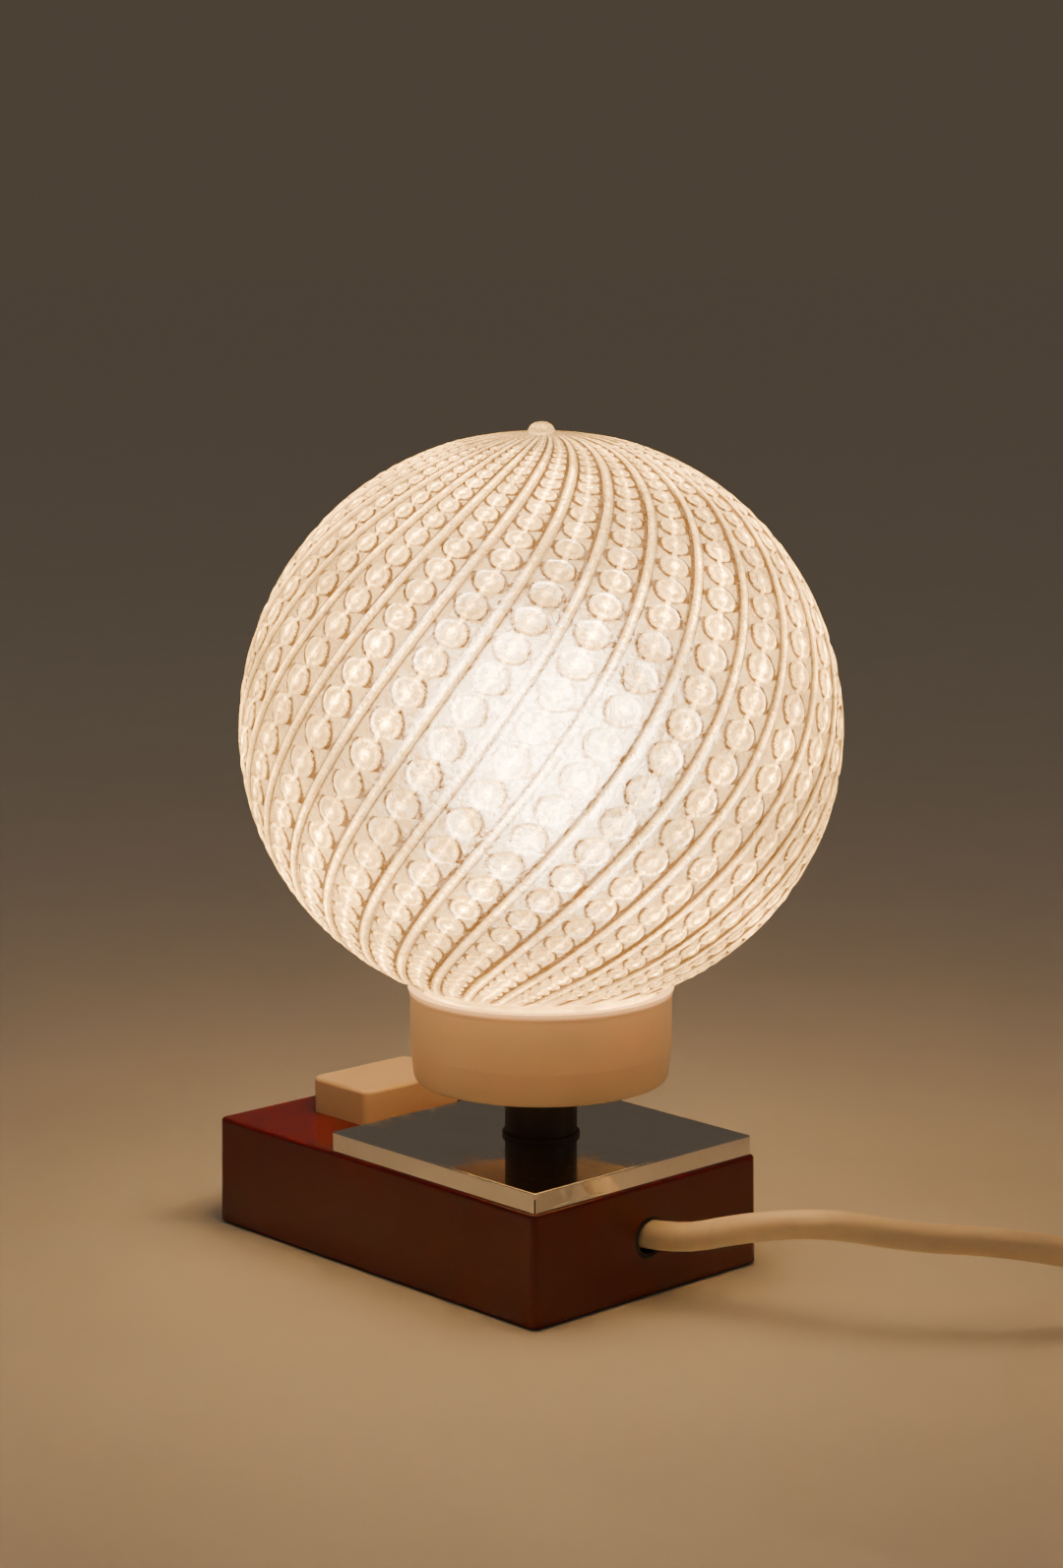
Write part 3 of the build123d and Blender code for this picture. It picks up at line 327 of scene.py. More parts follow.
def moulded(name, colour, low, high, grain=0.35 * MM, depth=0.012 * MM, dust=0.35, cloud=0.08, **sockets):
    """A moulded plastic: faint clouds in its colour, an uneven gloss, fine grain and dust."""
    finish = Finish(name, colour, **sockets)
    clouds = finish.spread(finish.noise(17 * MM), 0.3, 0.7)
    pale = tuple(min(1.0, c) for c in shaded(colour, 1 + cloud / 2))
    finish.wire("Base Color", finish.dust(finish.mix(clouds, shaded(colour, 1 - cloud), pale), dust))
    rubbed = finish.noise(9 * MM, detail=6.0, roughness=0.6, distortion=0.4)
    finish.wire("Roughness", finish.spread(rubbed, 0.32, 0.68, low, high))
    finish.bump(finish.noise(6 * MM, detail=2.0), 0.03 * MM, 0.35)
    finish.bump(finish.noise(grain), depth, 0.6)
    return finish


def scratches(finish, size=14 * MM, width=0.035):
    """Hair lines that run in a few directions."""
    lines = 0.0
    for turn in (0.3, 1.4, 2.6):
        wave = finish.noise(size / 16, detail=2.0, roughness=0.5, stretch=(1.0, 0.02, 1.0), turn=turn)
        lines = finish.maths("MAXIMUM", finish.spread(wave, 0.72, 0.72 + width), lines)
    return finish.product(lines, finish.spread(finish.noise(size, detail=2.0), 0.5, 0.62))


def metal(name, colour, low, high, streak=(1, 1, 1), stain=(0.45, 0.4, 0.34), stained=0.25):
    """A plain or plated metal with uneven polish, fine marks and a little tarnish."""
    finish = Finish(name, colour, Metallic=1.0)
    tarnish = finish.spread(finish.noise(7 * MM, detail=5.0, roughness=0.62), 0.5, 0.78, 0.0, stained)
    dull = tuple(a * b for a, b in zip(colour, stain))
    finish.wire("Base Color", finish.mix(tarnish, colour, dull))
    marks = finish.noise(2.4 * MM, detail=6.0, roughness=0.65, distortion=0.2, stretch=streak)
    finish.wire("Roughness", finish.spread(marks, 0.3, 0.72, low, high))
    finish.bump(finish.noise(0.5 * MM, roughness=0.5, stretch=streak), 0.006 * MM, 0.5)
    return finish.material


def red_plastic(colours):
    """Polished dark red moulding with hair scratches and wiped dust."""
    finish = moulded("dark red moulding", colours.red, 0.12, 0.22, grain=0.8 * MM,
                     depth=0.003 * MM, dust=0.1, Coat_Weight=0.25, Coat_Roughness=0.05,
                     Specular_IOR_Level=0.3)
    lines = scratches(finish)
    finish.wire("Roughness", finish.maths("ADD", finish.fed_by("Roughness"), finish.product(lines, 0.12)))
    finish.bump(lines, -0.01 * MM, 0.4)
    return finish.material


def cream_plastic(name, colours):
    """Satin cream moulding that lets a little light through."""
    return moulded(name, colours.cream, 0.28, 0.4, grain=0.45 * MM, depth=0.006 * MM, dust=0.15,
                   cloud=0.03, Subsurface_Weight=0.2, Subsurface_Radius=(2.4, 1.5, 0.8),
                   Subsurface_Scale=MM, Coat_Weight=0.15, Coat_Roughness=0.25)


def painted_glow_cup(colours, light):
    """The cup's cream moulding, with a painted glow that stands in for the bulb's light shining through:
    faint from its foot up, and strong in a band along its rim.
    """
    finish = cream_plastic("cream moulding with painted glow", colours)
    low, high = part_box("collar")
    level = finish.level()
    # Painted glow: emission that rises from the cup's foot to its top, and a strong band along the rim,
    # tinted through the cream
    soft = finish.spread(level, low.z, high.z, 0.0, 0.14)
    rim = finish.spread(level, high.z - 1.6 * MM, high.z - 0.5 * MM, 0.0, 0.9)
    painted_glow_tint = (1.0, 0.62, 0.34)
    finish.lit([a * b for a, b in zip(light, painted_glow_tint)], finish.maths("ADD", soft, rim))
    return finish.material


def chrome(settings):
    """Chromed sheet: a mirror with wiped smears, hair lines, a few pits and dust."""
    plate, smeared = (0.80, 0.79, 0.78), (0.62, 0.59, 0.55)
    finish = Finish("chromed sheet", plate, Metallic=1.0)
    smear = finish.noise(13 * MM, detail=5.0, roughness=0.62, distortion=1.4, stretch=(1.0, 1.8, 1.0))
    lines = scratches(finish, size=20 * MM, width=0.03)
    pits = finish.spread(finish.noise(0.9 * MM, detail=2.0, roughness=0.6), 0.70, 0.76)
    low = settings.chrome_roughness
    film = finish.spread(smear, 0.36, 0.72, low, low + 0.13)
    marked = finish.product(finish.maths("MAXIMUM", lines, pits), 0.22)
    finish.wire("Roughness", finish.maths("ADD", film, marked))
    dulled = finish.mix(finish.spread(smear, 0.45, 0.75, 0.0, 0.3), plate, smeared)
    finish.wire("Base Color", finish.dust(dulled, 0.4))
    finish.bump(finish.noise(30 * MM, detail=2.0), 0.05 * MM, 0.3)
    finish.bump(pits, -0.02 * MM, 0.4)
    return finish.material


def stem_paint(colours):
    """Dark satin enamel with fine orange peel and rubbed places."""
    finish = Finish("stem enamel", colours.stem, 0.4)
    rubbed = finish.spread(finish.noise(5 * MM, detail=5.0, roughness=0.6), 0.45, 0.75)
    finish.wire("Base Color", finish.mix(rubbed, colours.stem, shaded(colours.stem, 1.5)))
    finish.wire("Roughness", finish.spread(rubbed, 0.0, 1.0, 0.36, 0.5))
    finish.bump(finish.noise(1.2 * MM, detail=2.0), 0.006 * MM, 0.4)
    return finish.material


def lamps_pass(finish):
    """Lets light from lamps through glass without bending, so that what stands behind it is lit."""
    path = finish.add("ShaderNodeLightPath")
    clear = finish.add("ShaderNodeBsdfTransparent")
    clear.inputs["Color"].default_value = (*light_passed, 1.0)
    both = finish.add("ShaderNodeMixShader")
    finish.feed(path.outputs["Is Shadow Ray"], both.inputs[0])
    finish.feed(finish.surface.outputs["BSDF"], both.inputs[1])
    finish.feed(clear.outputs["BSDF"], both.inputs[2])
    output = finish.tree.nodes["Material Output"]
    finish.feed(both.outputs["Shader"], output.inputs["Surface"])


def pressed_glass(settings):
    """Clear pressed glass with a mould's fine ripple, and a painted glow that stands in for the bulb's
    light scattered in it: painted highlights on the boss hearts and ridge crests, painted shade on the boss
    rims and ridge feet.
    """
    rough, glow = settings.roughness, settings.glow
    finish = Finish("pressed glass", settings.tint, rough, IOR=glass_ior, Transmission_Weight=1.0)
    ripple = finish.noise(11 * MM, detail=4.0)
    finish.wire("Roughness", finish.spread(ripple, 0.3, 0.7, rough * 0.6, rough * 1.9))
    finish.bump(finish.noise(3.2 * MM, roughness=0.5, distortion=0.6), 0.1 * MM, 0.5)
    finish.bump(finish.noise(0.9 * MM, roughness=0.6), 0.02 * MM, 0.5)
    # The points' painted light, read from the mesh: it drives the painted glow, highlights and shade below
    painted_light = finish.add("ShaderNodeAttribute", attribute_name="painted_light").outputs["Fac"]
    # Fine painted sparkle and broad painted patches that vary the painted glow
    crinkle = finish.spread(finish.noise(1.1 * MM, roughness=0.6, distortion=1.4), 0.4, 0.64, 0.15, 2.2)
    patches = finish.spread(finish.noise(26 * MM, roughness=0.6), 0.42, 0.6, glow * 0.32, glow * 1.1)
    finish.lit(settings.glow_colour, finish.product(painted_light, crinkle, patches))
    # Painted shade: the base colour turns dark brown where the painted light is near nothing, on the boss
    # rims and ridge feet
    painted_rim_shade = (0.05, 0.028, 0.014)
    finish.wire("Base Color", finish.mix(finish.spread(painted_light, 0.01, 0.1), painted_rim_shade, settings.tint))
    lamps_pass(finish)
    return finish.material


def blown_face(settings):
    """The globe's inner face, crinkled where the glass chilled: it spreads some of the bulb's light."""
    finish = Finish("blown inner face", settings.tint, settings.haze, IOR=glass_ior,
                    Transmission_Weight=0.88)
    crinkle = finish.noise(2.2 * MM, detail=5.0, roughness=0.62, distortion=1.1)
    finish.wire("Roughness", finish.spread(crinkle, 0.44, 0.57, 0.03, settings.haze))
    finish.bump(crinkle, 0.5 * MM)
    finish.bump(finish.spread(finish.cells(4.5 * MM), 0.0, 0.35), 0.06 * MM, 0.5)
    lamps_pass(finish)
    return finish.material


def lit_pearl(settings):
    """Pearl coating inside the bulb's glass, lit from within and brighter round its filament."""
    finish = Finish("lit pearl glass", (0.95, 0.92, 0.86), 0.3, Coat_Weight=0.6, Coat_Roughness=0.03)
    low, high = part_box("bulb_glass")
    middle = high.z - (high.x - low.x) / 2
    glow = finish.spread(finish.level(), middle - 20 * MM, middle + 8 * MM, 0.1, 1.0)
    grain = finish.spread(finish.noise(1.1 * MM), 0.3, 0.7, 0.93, 1.04)
    finish.lit(settings.colour, finish.product(glow, grain, settings.power))
    finish.bump(finish.noise(0.4 * MM, detail=2.0), 0.01 * MM, 0.4)
    return finish.material


def felt():
    """Pressed felt: tangled fibres, lint and a soft sheen."""
    colour = (0.035, 0.05, 0.038)
    finish = Finish("felt", colour, 0.95, Sheen_Weight=0.5, Sheen_Roughness=0.5)
    fibres = finish.noise(0.35 * MM, detail=6.0, roughness=0.75, distortion=1.2)
    lint = tuple(2.6 * c + 0.01 for c in colour)
    finish.wire("Base Color", finish.mix(finish.spread(fibres, 0.4, 0.75), colour, lint))
    finish.bump(fibres, 0.18 * MM, 0.9)
    finish.bump(finish.noise(4 * MM), 0.12 * MM, 0.5)
    return finish.material


def cord_sheath(colours):
    """Soft vinyl with a satin skin, random patches of grime and rubbed places of uneven gloss."""
    finish = moulded("cord sheath", colours.cord, 0.3, 0.5, grain=0.28 * MM, depth=0.015 * MM,
                     dust=0.3, Subsurface_Weight=0.2, Subsurface_Radius=(2.0, 1.3, 0.7),
                     Subsurface_Scale=MM)
    grimy = finish.noise(7 * MM, detail=5.0, roughness=0.6, distortion=0.5)
    grime = finish.spread(grimy, 0.5, 0.8, 0.0, 0.35)
    finish.wire("Base Color", finish.mix(grime, finish.fed_by("Base Color"), shaded(colours.cord, 0.62)))
    return finish.material


def rubber(name, colour):
    return moulded(name, colour, 0.55, 0.8, grain=0.5 * MM, depth=0.02 * MM, dust=0.4).material


def dress(material, *names):
    """Gives carried-over nodes their material."""
    for name in names:
        mesh = nodes[name].data
        mesh.materials.clear()
        mesh.materials.append(material)


def put(name, data):
    piece = bpy.data.objects.new(name, data)
    bpy.context.scene.collection.objects.link(piece)
    return piece


def link(name, data, material, body):
    """A new piece that rides on a body."""
    piece = put(name, data)
    piece.data.materials.append(material)
    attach(piece, body)
    return piece


def ring_mesh(name, rings, start_tip, end_tip):
    """A mesh through rings of points, shape (rings, points, 3), with a tip at either end."""
    count, around = rings.shape[:2]
    step = np.arange(around)
    after = (step + 1) % around
    row = np.arange(count - 1)[:, None] * around
    quads = np.stack([row + step, row + around + step, row + around + after, row + after], -1)
    tip = np.full(around, count * around)
    last = (count - 1) * around
    fans = np.stack([tip, step, after], -1), np.stack([tip + 1, last + after, last + step], -1)
    corners = np.concatenate([quads.ravel(), fans[0].ravel(), fans[1].ravel()])
    sizes = np.repeat([4, 3], [(count - 1) * around, 2 * around])
    points = np.concatenate([rings.reshape(-1, 3), [start_tip, end_tip]])
    mesh = bpy.data.meshes.new(name)
    mesh.vertices.add(len(points))
    mesh.vertices.foreach_set("co", points.astype(np.float32).ravel())
    mesh.loops.add(len(corners))
    mesh.loops.foreach_set("vertex_index", corners.astype(np.int32))
    mesh.polygons.add(len(sizes))
    mesh.polygons.foreach_set("loop_start", (np.cumsum(sizes) - sizes).astype(np.int32))
    mesh.update(calc_edges=True)
    mesh.validate()
    mesh.shade_smooth()
    return mesh


def curve_piece(name, points, radius, material, body):
    """A round cord along a smooth line, given by its control points in metres."""
    curve = bpy.data.curves.new(name, "CURVE")
    curve.dimensions = "3D"
    curve.bevel_depth = radius
    curve.bevel_resolution = 6
    curve.resolution_u = 6
    curve.use_fill_caps = True
    spline = curve.splines.new("NURBS")
    spline.points.add(len(points) - 1)
    for target, point in zip(spline.points, points):
        target.co = (*point, 1.0)
    spline.order_u = 3
    spline.use_endpoint_u = True
    return link(name, curve, material, body)


def banded(place, bands):
    """The sum of soft bands, each given by its middle, its width and its strength."""
    return sum(strength * np.exp(-((place - middle) / width) ** 2) for middle, width, strength in bands)


class SwirlRelief:
    """The height that is pressed into the globe, and the painted light on it, by polar angle and place
    across a row.
    """

    # The angles at which the spacing is summed, in degrees from the top
    table = (1.0, 170.0, 3400)
    # Where the relief begins and ends, and where its first and last bosses sit
    top_fade = (5.0, 15.0)
    plain_from = (151.0, 155.0)
    first_boss, last_boss = 16.0, 148.5
    # Extra sweep of the rows in their lower part
    curl_from, curl_span, curl = 45.0, 80.0, 9.07
    # How fast the bosses crowd above and below the middle, as powers of the sine of the angle
    crowding = (0.95, 1.75)
    # The most that half a boss takes of the spacing, and a ridge's foot of a row's width
    boss_room, ridge_room = 0.455, 0.16
    # A boss: share, width and power of its steep wall, with a plain dome over the rest
    wall_share, wall_width, wall_power = 0.35, 0.2, 0.7
    # How much sooner than its row the relief reaches its full height
    ridge_gain, boss_gain = 1.35, 1.1
    # Painted light on the glass: plain, over a boss by reach from its middle, and over a ridge, each band
    # by its middle, width and strength; bands of positive strength are painted glow and painted highlights,
    # bands below nothing are painted shade
    plain_painted_light = 0.14
    boss_painted_light = ((1.02, 0.13, -0.42), (0.78, 0.09, 1.3), (0.53, 0.1, -0.12), (0.0, 0.28, 4.0))
    ridge_painted_light = ((0.0, 0.33, 1.9), (1.15, 0.4, -0.4), (-1.15, 0.3, -0.2))
    out_of_reach = 9.0

    def __init__(self, settings):
        self.settings = settings
        self.angles = np.linspace(*self.table)
        power = np.where(self.angles < 90, *self.crowding)
        self.spacing = math.degrees(settings.boss_spacing) * np.sin(np.radians(self.angles)) ** power
        rate = 1 / self.spacing
        steps = np.concatenate([[0], np.cumsum((rate[1:] + rate[:-1]) / 2 * np.diff(self.angles))])
        self.counts = steps - np.interp(90.0, self.angles, steps)

    def count(self, angle):
        """How many bosses lie between the middle and this angle, negative above the middle."""
        return np.interp(angle, self.angles, self.counts)

    def angle(self, count):
        return np.interp(count, self.counts, self.angles)

    def curled(self, angle):
        """How far into the curled part of the rows this angle lies."""
        return np.clip((angle - self.curl_from) / self.curl_span, 0, None)

    def sweep(self, angle):
        """How far a row has turned at this angle, in degrees."""
        return -(self.settings.sweep * angle + self.curl * self.curled(angle) ** 3)

    def lean(self, angle):
        """The slope of a row: its way round over its way down."""
        turn = self.settings.sweep + 3 * self.curl * self.curled(angle) ** 2 / self.curl_span
        return -turn * np.sin(np.radians(angle))

    def pitch(self, angle):
        """The width of a row, across it."""
        around = 2 * math.pi / self.settings.panels * globe_radius * np.sin(np.radians(angle))
        return around / np.sqrt(1 + self.lean(angle) ** 2)

    def fade(self, angle):
        """One where there is relief, and nothing at the nub and the neck."""
        (start, full), (last, end) = self.top_fade, self.plain_from
        return np.clip((angle - start) / (full - start), 0, 1) * np.clip((end - angle) / (end - last), 0, 1)

    def height(self, angle, across, odd):
        """Relief above the plain surface, and the painted light on it. across runs from -0.5 to 0.5 over a
        row.
        """
        fade = self.fade(angle)
        pitch = self.pitch(angle)
        scale = np.clip(pitch / self.pitch(90.0) * self.ridge_gain, 0, 1)
        foot = np.minimum(self.settings.ridge_width, self.ridge_room * pitch)
        beside = (0.5 - np.abs(across)) * pitch / foot
        ridge = self.settings.ridge_height * np.sqrt(np.clip(1 - beside**2, 0, 1)) * scale * fade
        phase = 0.0 if odd else 0.5
        centre = self.angle(np.round(self.count(angle) - phase) + phase)
        lean = self.lean(centre)
        length = np.sqrt(1 + lean**2)
        down = np.radians(angle - centre) * globe_radius
        turned = np.radians(self.sweep(angle) - self.sweep(centre) + across * 360 / self.settings.panels)
        around = turned * globe_radius * np.sin(np.radians(angle))
        along = (down + around * lean) / length
        side = (around - down * lean) / length
        spacing = np.radians(np.interp(centre, self.angles, self.spacing)) * globe_radius * length
        half_side = self.settings.boss_share / 2 * self.pitch(centre)
        half_along = np.minimum(half_side, self.boss_room * spacing)
        reach = np.sqrt((along / half_along) ** 2 + (side / half_side) ** 2)
        wall = np.clip((1 - reach) / self.wall_width, 0, 1) ** self.wall_power
        dome = self.wall_share * wall + (1 - self.wall_share) * np.sqrt(np.clip(1 - reach**2, 0, 1))
        inside = (centre > self.first_boss) & (centre < self.last_boss)
        full = self.settings.boss_height * np.clip(half_along / (self.boss_room * spacing), 0, 1)
        boss = full * dome * inside * np.clip(scale * self.boss_gain, 0, 1)
        painted_light = self.painted_light(beside * np.sign(across), np.where(inside, reach, self.out_of_reach), fade)
        return np.maximum(ridge, boss), painted_light

    def painted_light(self, beside, reach, fade):
        """The painted light at each place: painted glow, painted highlights on the boss hearts, rings and
        ridge crests, and painted shade on the boss rims and ridge feet.
        """
        over = banded(reach, self.boss_painted_light) + banded(beside, self.ridge_painted_light) * fade
        return np.clip(self.plain_painted_light + over, 0.0, None)


def ring_angles(relief):
    """Polar angles of the globe's outer rings, from its nub down to its neck."""
    bosses_from, bosses_to = 13.0, 155.5
    nub_from, nub_step, nub_clear = 0.4, 0.45, 0.2
    first, last = np.floor(relief.count(bosses_from)), np.ceil(relief.count(bosses_to))
    halves = np.arange(first * 2, last * 2) / 2
    angles = relief.angle((halves[:, None] + np.array(boss_steps)).ravel())
    neck_angle = math.degrees(math.pi - math.asin(neck_radius / (globe_radius - globe_skin)))
    nub_angles = np.arange(nub_from, angles[0] - nub_clear, nub_step)
    return np.concatenate([nub_angles, angles[angles < neck_angle]])


def pressed_rings(settings):
    """The globe's outer rings with their relief, their points' painted light, and the last ring's headings.
    """
    relief = SwirlRelief(settings)
    angles = ring_angles(relief)
    across = np.array([-x for x in row_steps[:0:-1]] + row_steps + [0.5])
    even, odd = (relief.height(angles[:, None], across, kind) for kind in (False, True))
    rows = [odd if row % 2 else even for row in range(settings.panels)]
    heights, painted_light = (np.concatenate(parts, 1) for parts in zip(*rows))
    starts = 360 / settings.panels * (np.arange(settings.panels)[:, None] + across)
    headings = np.radians(math.degrees(settings.first_row) + starts.ravel() + relief.sweep(angles)[:, None])
    polar = np.radians(angles)[:, None]
    plain_radius = globe_radius - globe_skin
    tall = np.where(polar < math.pi / 2, plain_radius, globe_under - globe_skin)
    reach = (plain_radius + heights) * np.sin(polar)
    level = globe_centre_z + (tall + heights) * np.cos(polar)
    nub = np.clip(1 - (reach / nub_radius) ** nub_roundness, 0, 1)
    level = level + (globe_nub + globe_skin - nub_spare) * np.sqrt(nub)
    outer = np.stack([reach * np.cos(headings), reach * np.sin(headings), level], -1)
    return outer, painted_light, headings[-1]


def level_ring(around, radius, z):
    return np.stack([radius * np.cos(around), radius * np.sin(around), np.full_like(around, z)], -1)


def neck_profile(top):
    """Radius and height down the outside of the neck, round its foot and up its bore."""
    foot = globe_low.z
    inside = neck_radius - neck_wall
    bead = 0.9 * MM
    blend = 0.35 * MM
    turns = np.linspace(0.3, math.pi / 2, 5)
    shoulder = [(neck_radius + blend, top - blend), (neck_radius, top - 4 * blend)]
    outside = [(neck_radius, z) for z in np.linspace(top - 4 * MM, foot + bead, 6)]
    round_out = [(neck_radius - bead * (1 - math.cos(a)), foot + bead * (1 - math.sin(a))) for a in turns]
    round_in = [(inside + bead * (1 - math.cos(a)), foot + bead * (1 - math.sin(a))) for a in turns[::-1]]
    inner_share = inside / (globe_radius - globe_wall)
    inner_top = globe_centre_z - (globe_under - globe_wall) * math.sqrt(1 - inner_share**2)
    bore = [(inside, z) for z in np.linspace(foot + bead, inner_top - 0.6 * MM, 6)]
    return shoulder + outside + round_out + round_in + bore


def globe_rings(settings):
    """The globe's rings from its nub down to its neck and back up its inside, and its two tips."""
    outer, painted_light, around = pressed_rings(settings)
    neck = [level_ring(around, radius, z) for radius, z in neck_profile(outer[-1, :, 2].mean())]
    inner_radius = globe_radius - globe_wall
    first = 180 - math.degrees(math.asin((neck_radius - neck_wall) / inner_radius))
    last, count = 1.5, 72
    inner = []
    for polar in np.radians(np.linspace(first, last, count)):
        tall = inner_radius if polar < math.pi / 2 else globe_under - globe_wall
        level = globe_centre_z + tall * math.cos(polar)
        inner.append(level_ring(around, inner_radius * math.sin(polar), level))
    tips = (Vector((0, 0, globe_high.z - nub_spare)), Vector((0, 0, globe_centre_z + inner_radius)))
    return np.concatenate([outer, np.stack(neck), np.stack(inner)]), tips, painted_light, len(outer) + len(neck)


class NIGHTLIGHT_OT_globe(Operator):
    """Press the swirl relief into the glass globe"""

    bl_idname = "nightlight.globe"
    bl_label = "Glass Globe"

    def execute(self, context):
        settings = context.scene.nightlight_globe
        rings, tips, painted_light, outer_count = globe_rings(settings)
        mesh = ring_mesh("swirl_globe", rings, *tips)
        # Painted light for each point: the outer rings' own, and an even painted glow on the neck
        shares = np.full(len(mesh.vertices), neck_painted_light, dtype=np.float32)
        shares[:painted_light.size] = painted_light.ravel()
        mesh.attributes.new("painted_light", "FLOAT", "POINT").data.foreach_set("value", shares)
        around = rings.shape[1]
        inside = np.zeros(len(mesh.polygons), dtype=np.int32)
        inside[outer_count * around:(len(rings) - 1) * around] = 1
        inside[-around:] = 1
        globe = link("swirl_globe", mesh, pressed_glass(settings), "globe")
        mesh.materials.append(blown_face(settings))
        mesh.polygons.foreach_set("material_index", inside)
        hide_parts("glass_globe")
        return {"FINISHED"}


class NIGHTLIGHT_OT_bulb(Operator):
    """Light the bulb and finish its cap, contact and inner wires"""

    bl_idname = "nightlight.bulb"
    bl_label = "Bulb"

    def execute(self, context):
        dress(lit_pearl(context.scene.nightlight_bulb), "bulb_glass")
        dress(metal("cap aluminium", (0.78, 0.78, 0.79), 0.2, 0.38), "bulb_cap")
        dress(metal("contact solder", (0.6, 0.6, 0.62), 0.3, 0.5), "bulb_contact")
        black = moulded("black insulator", (0.012, 0.012, 0.014), 0.1, 0.25, dust=0.1)
        dress(black.material, "bulb_insulator")
        clear = moulded("inner glass", (0.75, 0.76, 0.74), 0.05, 0.12, dust=0.0)
        dress(clear.material, "bulb_stem")
        dress(metal("drawn wire", (0.42, 0.42, 0.44), 0.25, 0.45), "bulb_supports", "bulb_filament")
        return {"FINISHED"}


class NIGHTLIGHT_OT_collar(Operator):
    """Finish the cream cup, its gasket and its wave spring"""

    bl_idname = "nightlight.collar"
    bl_label = "Cup"

    def execute(self, context):
        # The cup is finished with a painted glow near its rim
        dress(painted_glow_cup(context.scene.nightlight_finish, context.scene.nightlight_bulb.colour), "collar")
        dress(rubber("gasket rubber", (0.03, 0.03, 0.03)), "neck_gasket")
        dress(metal("spring steel", (0.56, 0.56, 0.56), 0.18, 0.34, streak=(1, 1, 6)), "neck_wave_spring")
        return {"FINISHED"}


class NIGHTLIGHT_OT_stem(Operator):
    """Finish the stem with the tube, nuts and washers inside it"""

    bl_idname = "nightlight.stem"
    bl_label = "Stem"

    def execute(self, context):
        dress(stem_paint(context.scene.nightlight_finish), "stem_ring", "stem_sleeve")
        plated = metal("zinc plate", (0.62, 0.61, 0.57), 0.24, 0.42, stained=0.35)
        dress(plated, "threaded_tube", "tube_lower_washer", "tube_lower_nut", "tube_upper_washer",
              "tube_upper_nut")
        return {"FINISHED"}


class NIGHTLIGHT_OT_holder(Operator):
    """Finish the lampholder and its brass parts"""

    bl_idname = "nightlight.holder"
    bl_label = "Lampholder"

    def execute(self, context):
        white = moulded("white thermoset", (0.78, 0.76, 0.70), 0.25, 0.4)
        dress(white.material, "lampholder_cup", "lampholder_skirt", "lampholder_insert")
        brass = metal("brass", (0.78, 0.58, 0.27), 0.2, 0.38, stain=(0.5, 0.42, 0.3), stained=0.4)
        dress(brass, "lampholder_terminals", "lampholder_terminal_screws", "lampholder_thread_shell",
              "lampholder_contact")
        return {"FINISHED"}


class NIGHTLIGHT_OT_base(Operator):
    """Finish the red housing, the chromed plate, the base plate and its felt"""

    bl_idname = "nightlight.base"
    bl_label = "Base"

    # The felt pad: its cut corners, the room round it, how far its face is rubbed in and how uneven it is
    felt_cut = 13.0 * MM
    felt_margin = 0.25 * MM
    felt_rubbed = 0.03 * MM
    felt_uneven = 0.07 * MM

    def execute(self, context):
        colours = context.scene.nightlight_finish
        dress(red_plastic(colours), "base_housing")
        dress(chrome(colours), "cap_plate")
        sheet_steel = metal("zinc sheet", (0.6, 0.59, 0.55), 0.26, 0.46, streak=(1, 12, 1), stained=0.4)
        dress(sheet_steel, "base_plate")
        screws = metal("plated screw", (0.66, 0.65, 0.6), 0.2, 0.36)
        dress(screws, "base_plate_screws", "switch_screws", "cord_clamp_screws")
        self.lay_felt()
        return {"FINISHED"}

    def lay_felt(self):
        """A felt pad with a slightly uneven face and soft edges, in the node's own space."""
        low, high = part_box("felt_pad")
        outline = octagon(low, high, self.felt_cut, self.felt_margin)
        face = low.z + self.felt_rubbed
        edge = ((0.02, high.z), (1.0, high.z), (1.0, low.z + 0.3 * MM), (0.994, low.z + 0.06 * MM))
        rings = [scaled(outline, share, z) for share, z in edge]
        rng = np.random.default_rng(4)
        for share in np.linspace(0.97, 0.06, 16):
            ring = scaled(outline, share, face)
            ring[:, 2] += rng.uniform(0, self.felt_uneven, len(ring))
            rings.append(ring)
        middle = (low.x + high.x) / 2
        mesh = ring_mesh("felt_base_pad", np.stack(rings), (middle, 0, high.z), (middle, 0, face))
        pad = link("felt_base_pad", mesh, felt(), "base")
        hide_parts("felt_pad")


def octagon(low, high, cut, margin, side_points=12):
    """Evenly spaced points round a rectangle with cut corners."""
    x0, x1, y0, y1 = low.x + margin, high.x - margin, low.y + margin, high.y - margin
    corners = np.array([(x0 + cut, y0), (x1 - cut, y0), (x1, y0 + cut), (x1, y1 - cut),
                        (x1 - cut, y1), (x0 + cut, y1), (x0, y1 - cut), (x0, y0 + cut)])
    shares = np.arange(side_points)[:, None] / side_points
    sides = [start + (end - start) * shares for start, end in zip(corners, np.roll(corners, -1, 0))]
    return np.concatenate(sides)


def scaled(outline, share, z):
    middle = (outline.max(0) + outline.min(0)) / 2
    flat = middle + (outline - middle) * share
    return np.column_stack([flat, np.full(len(flat), z)])


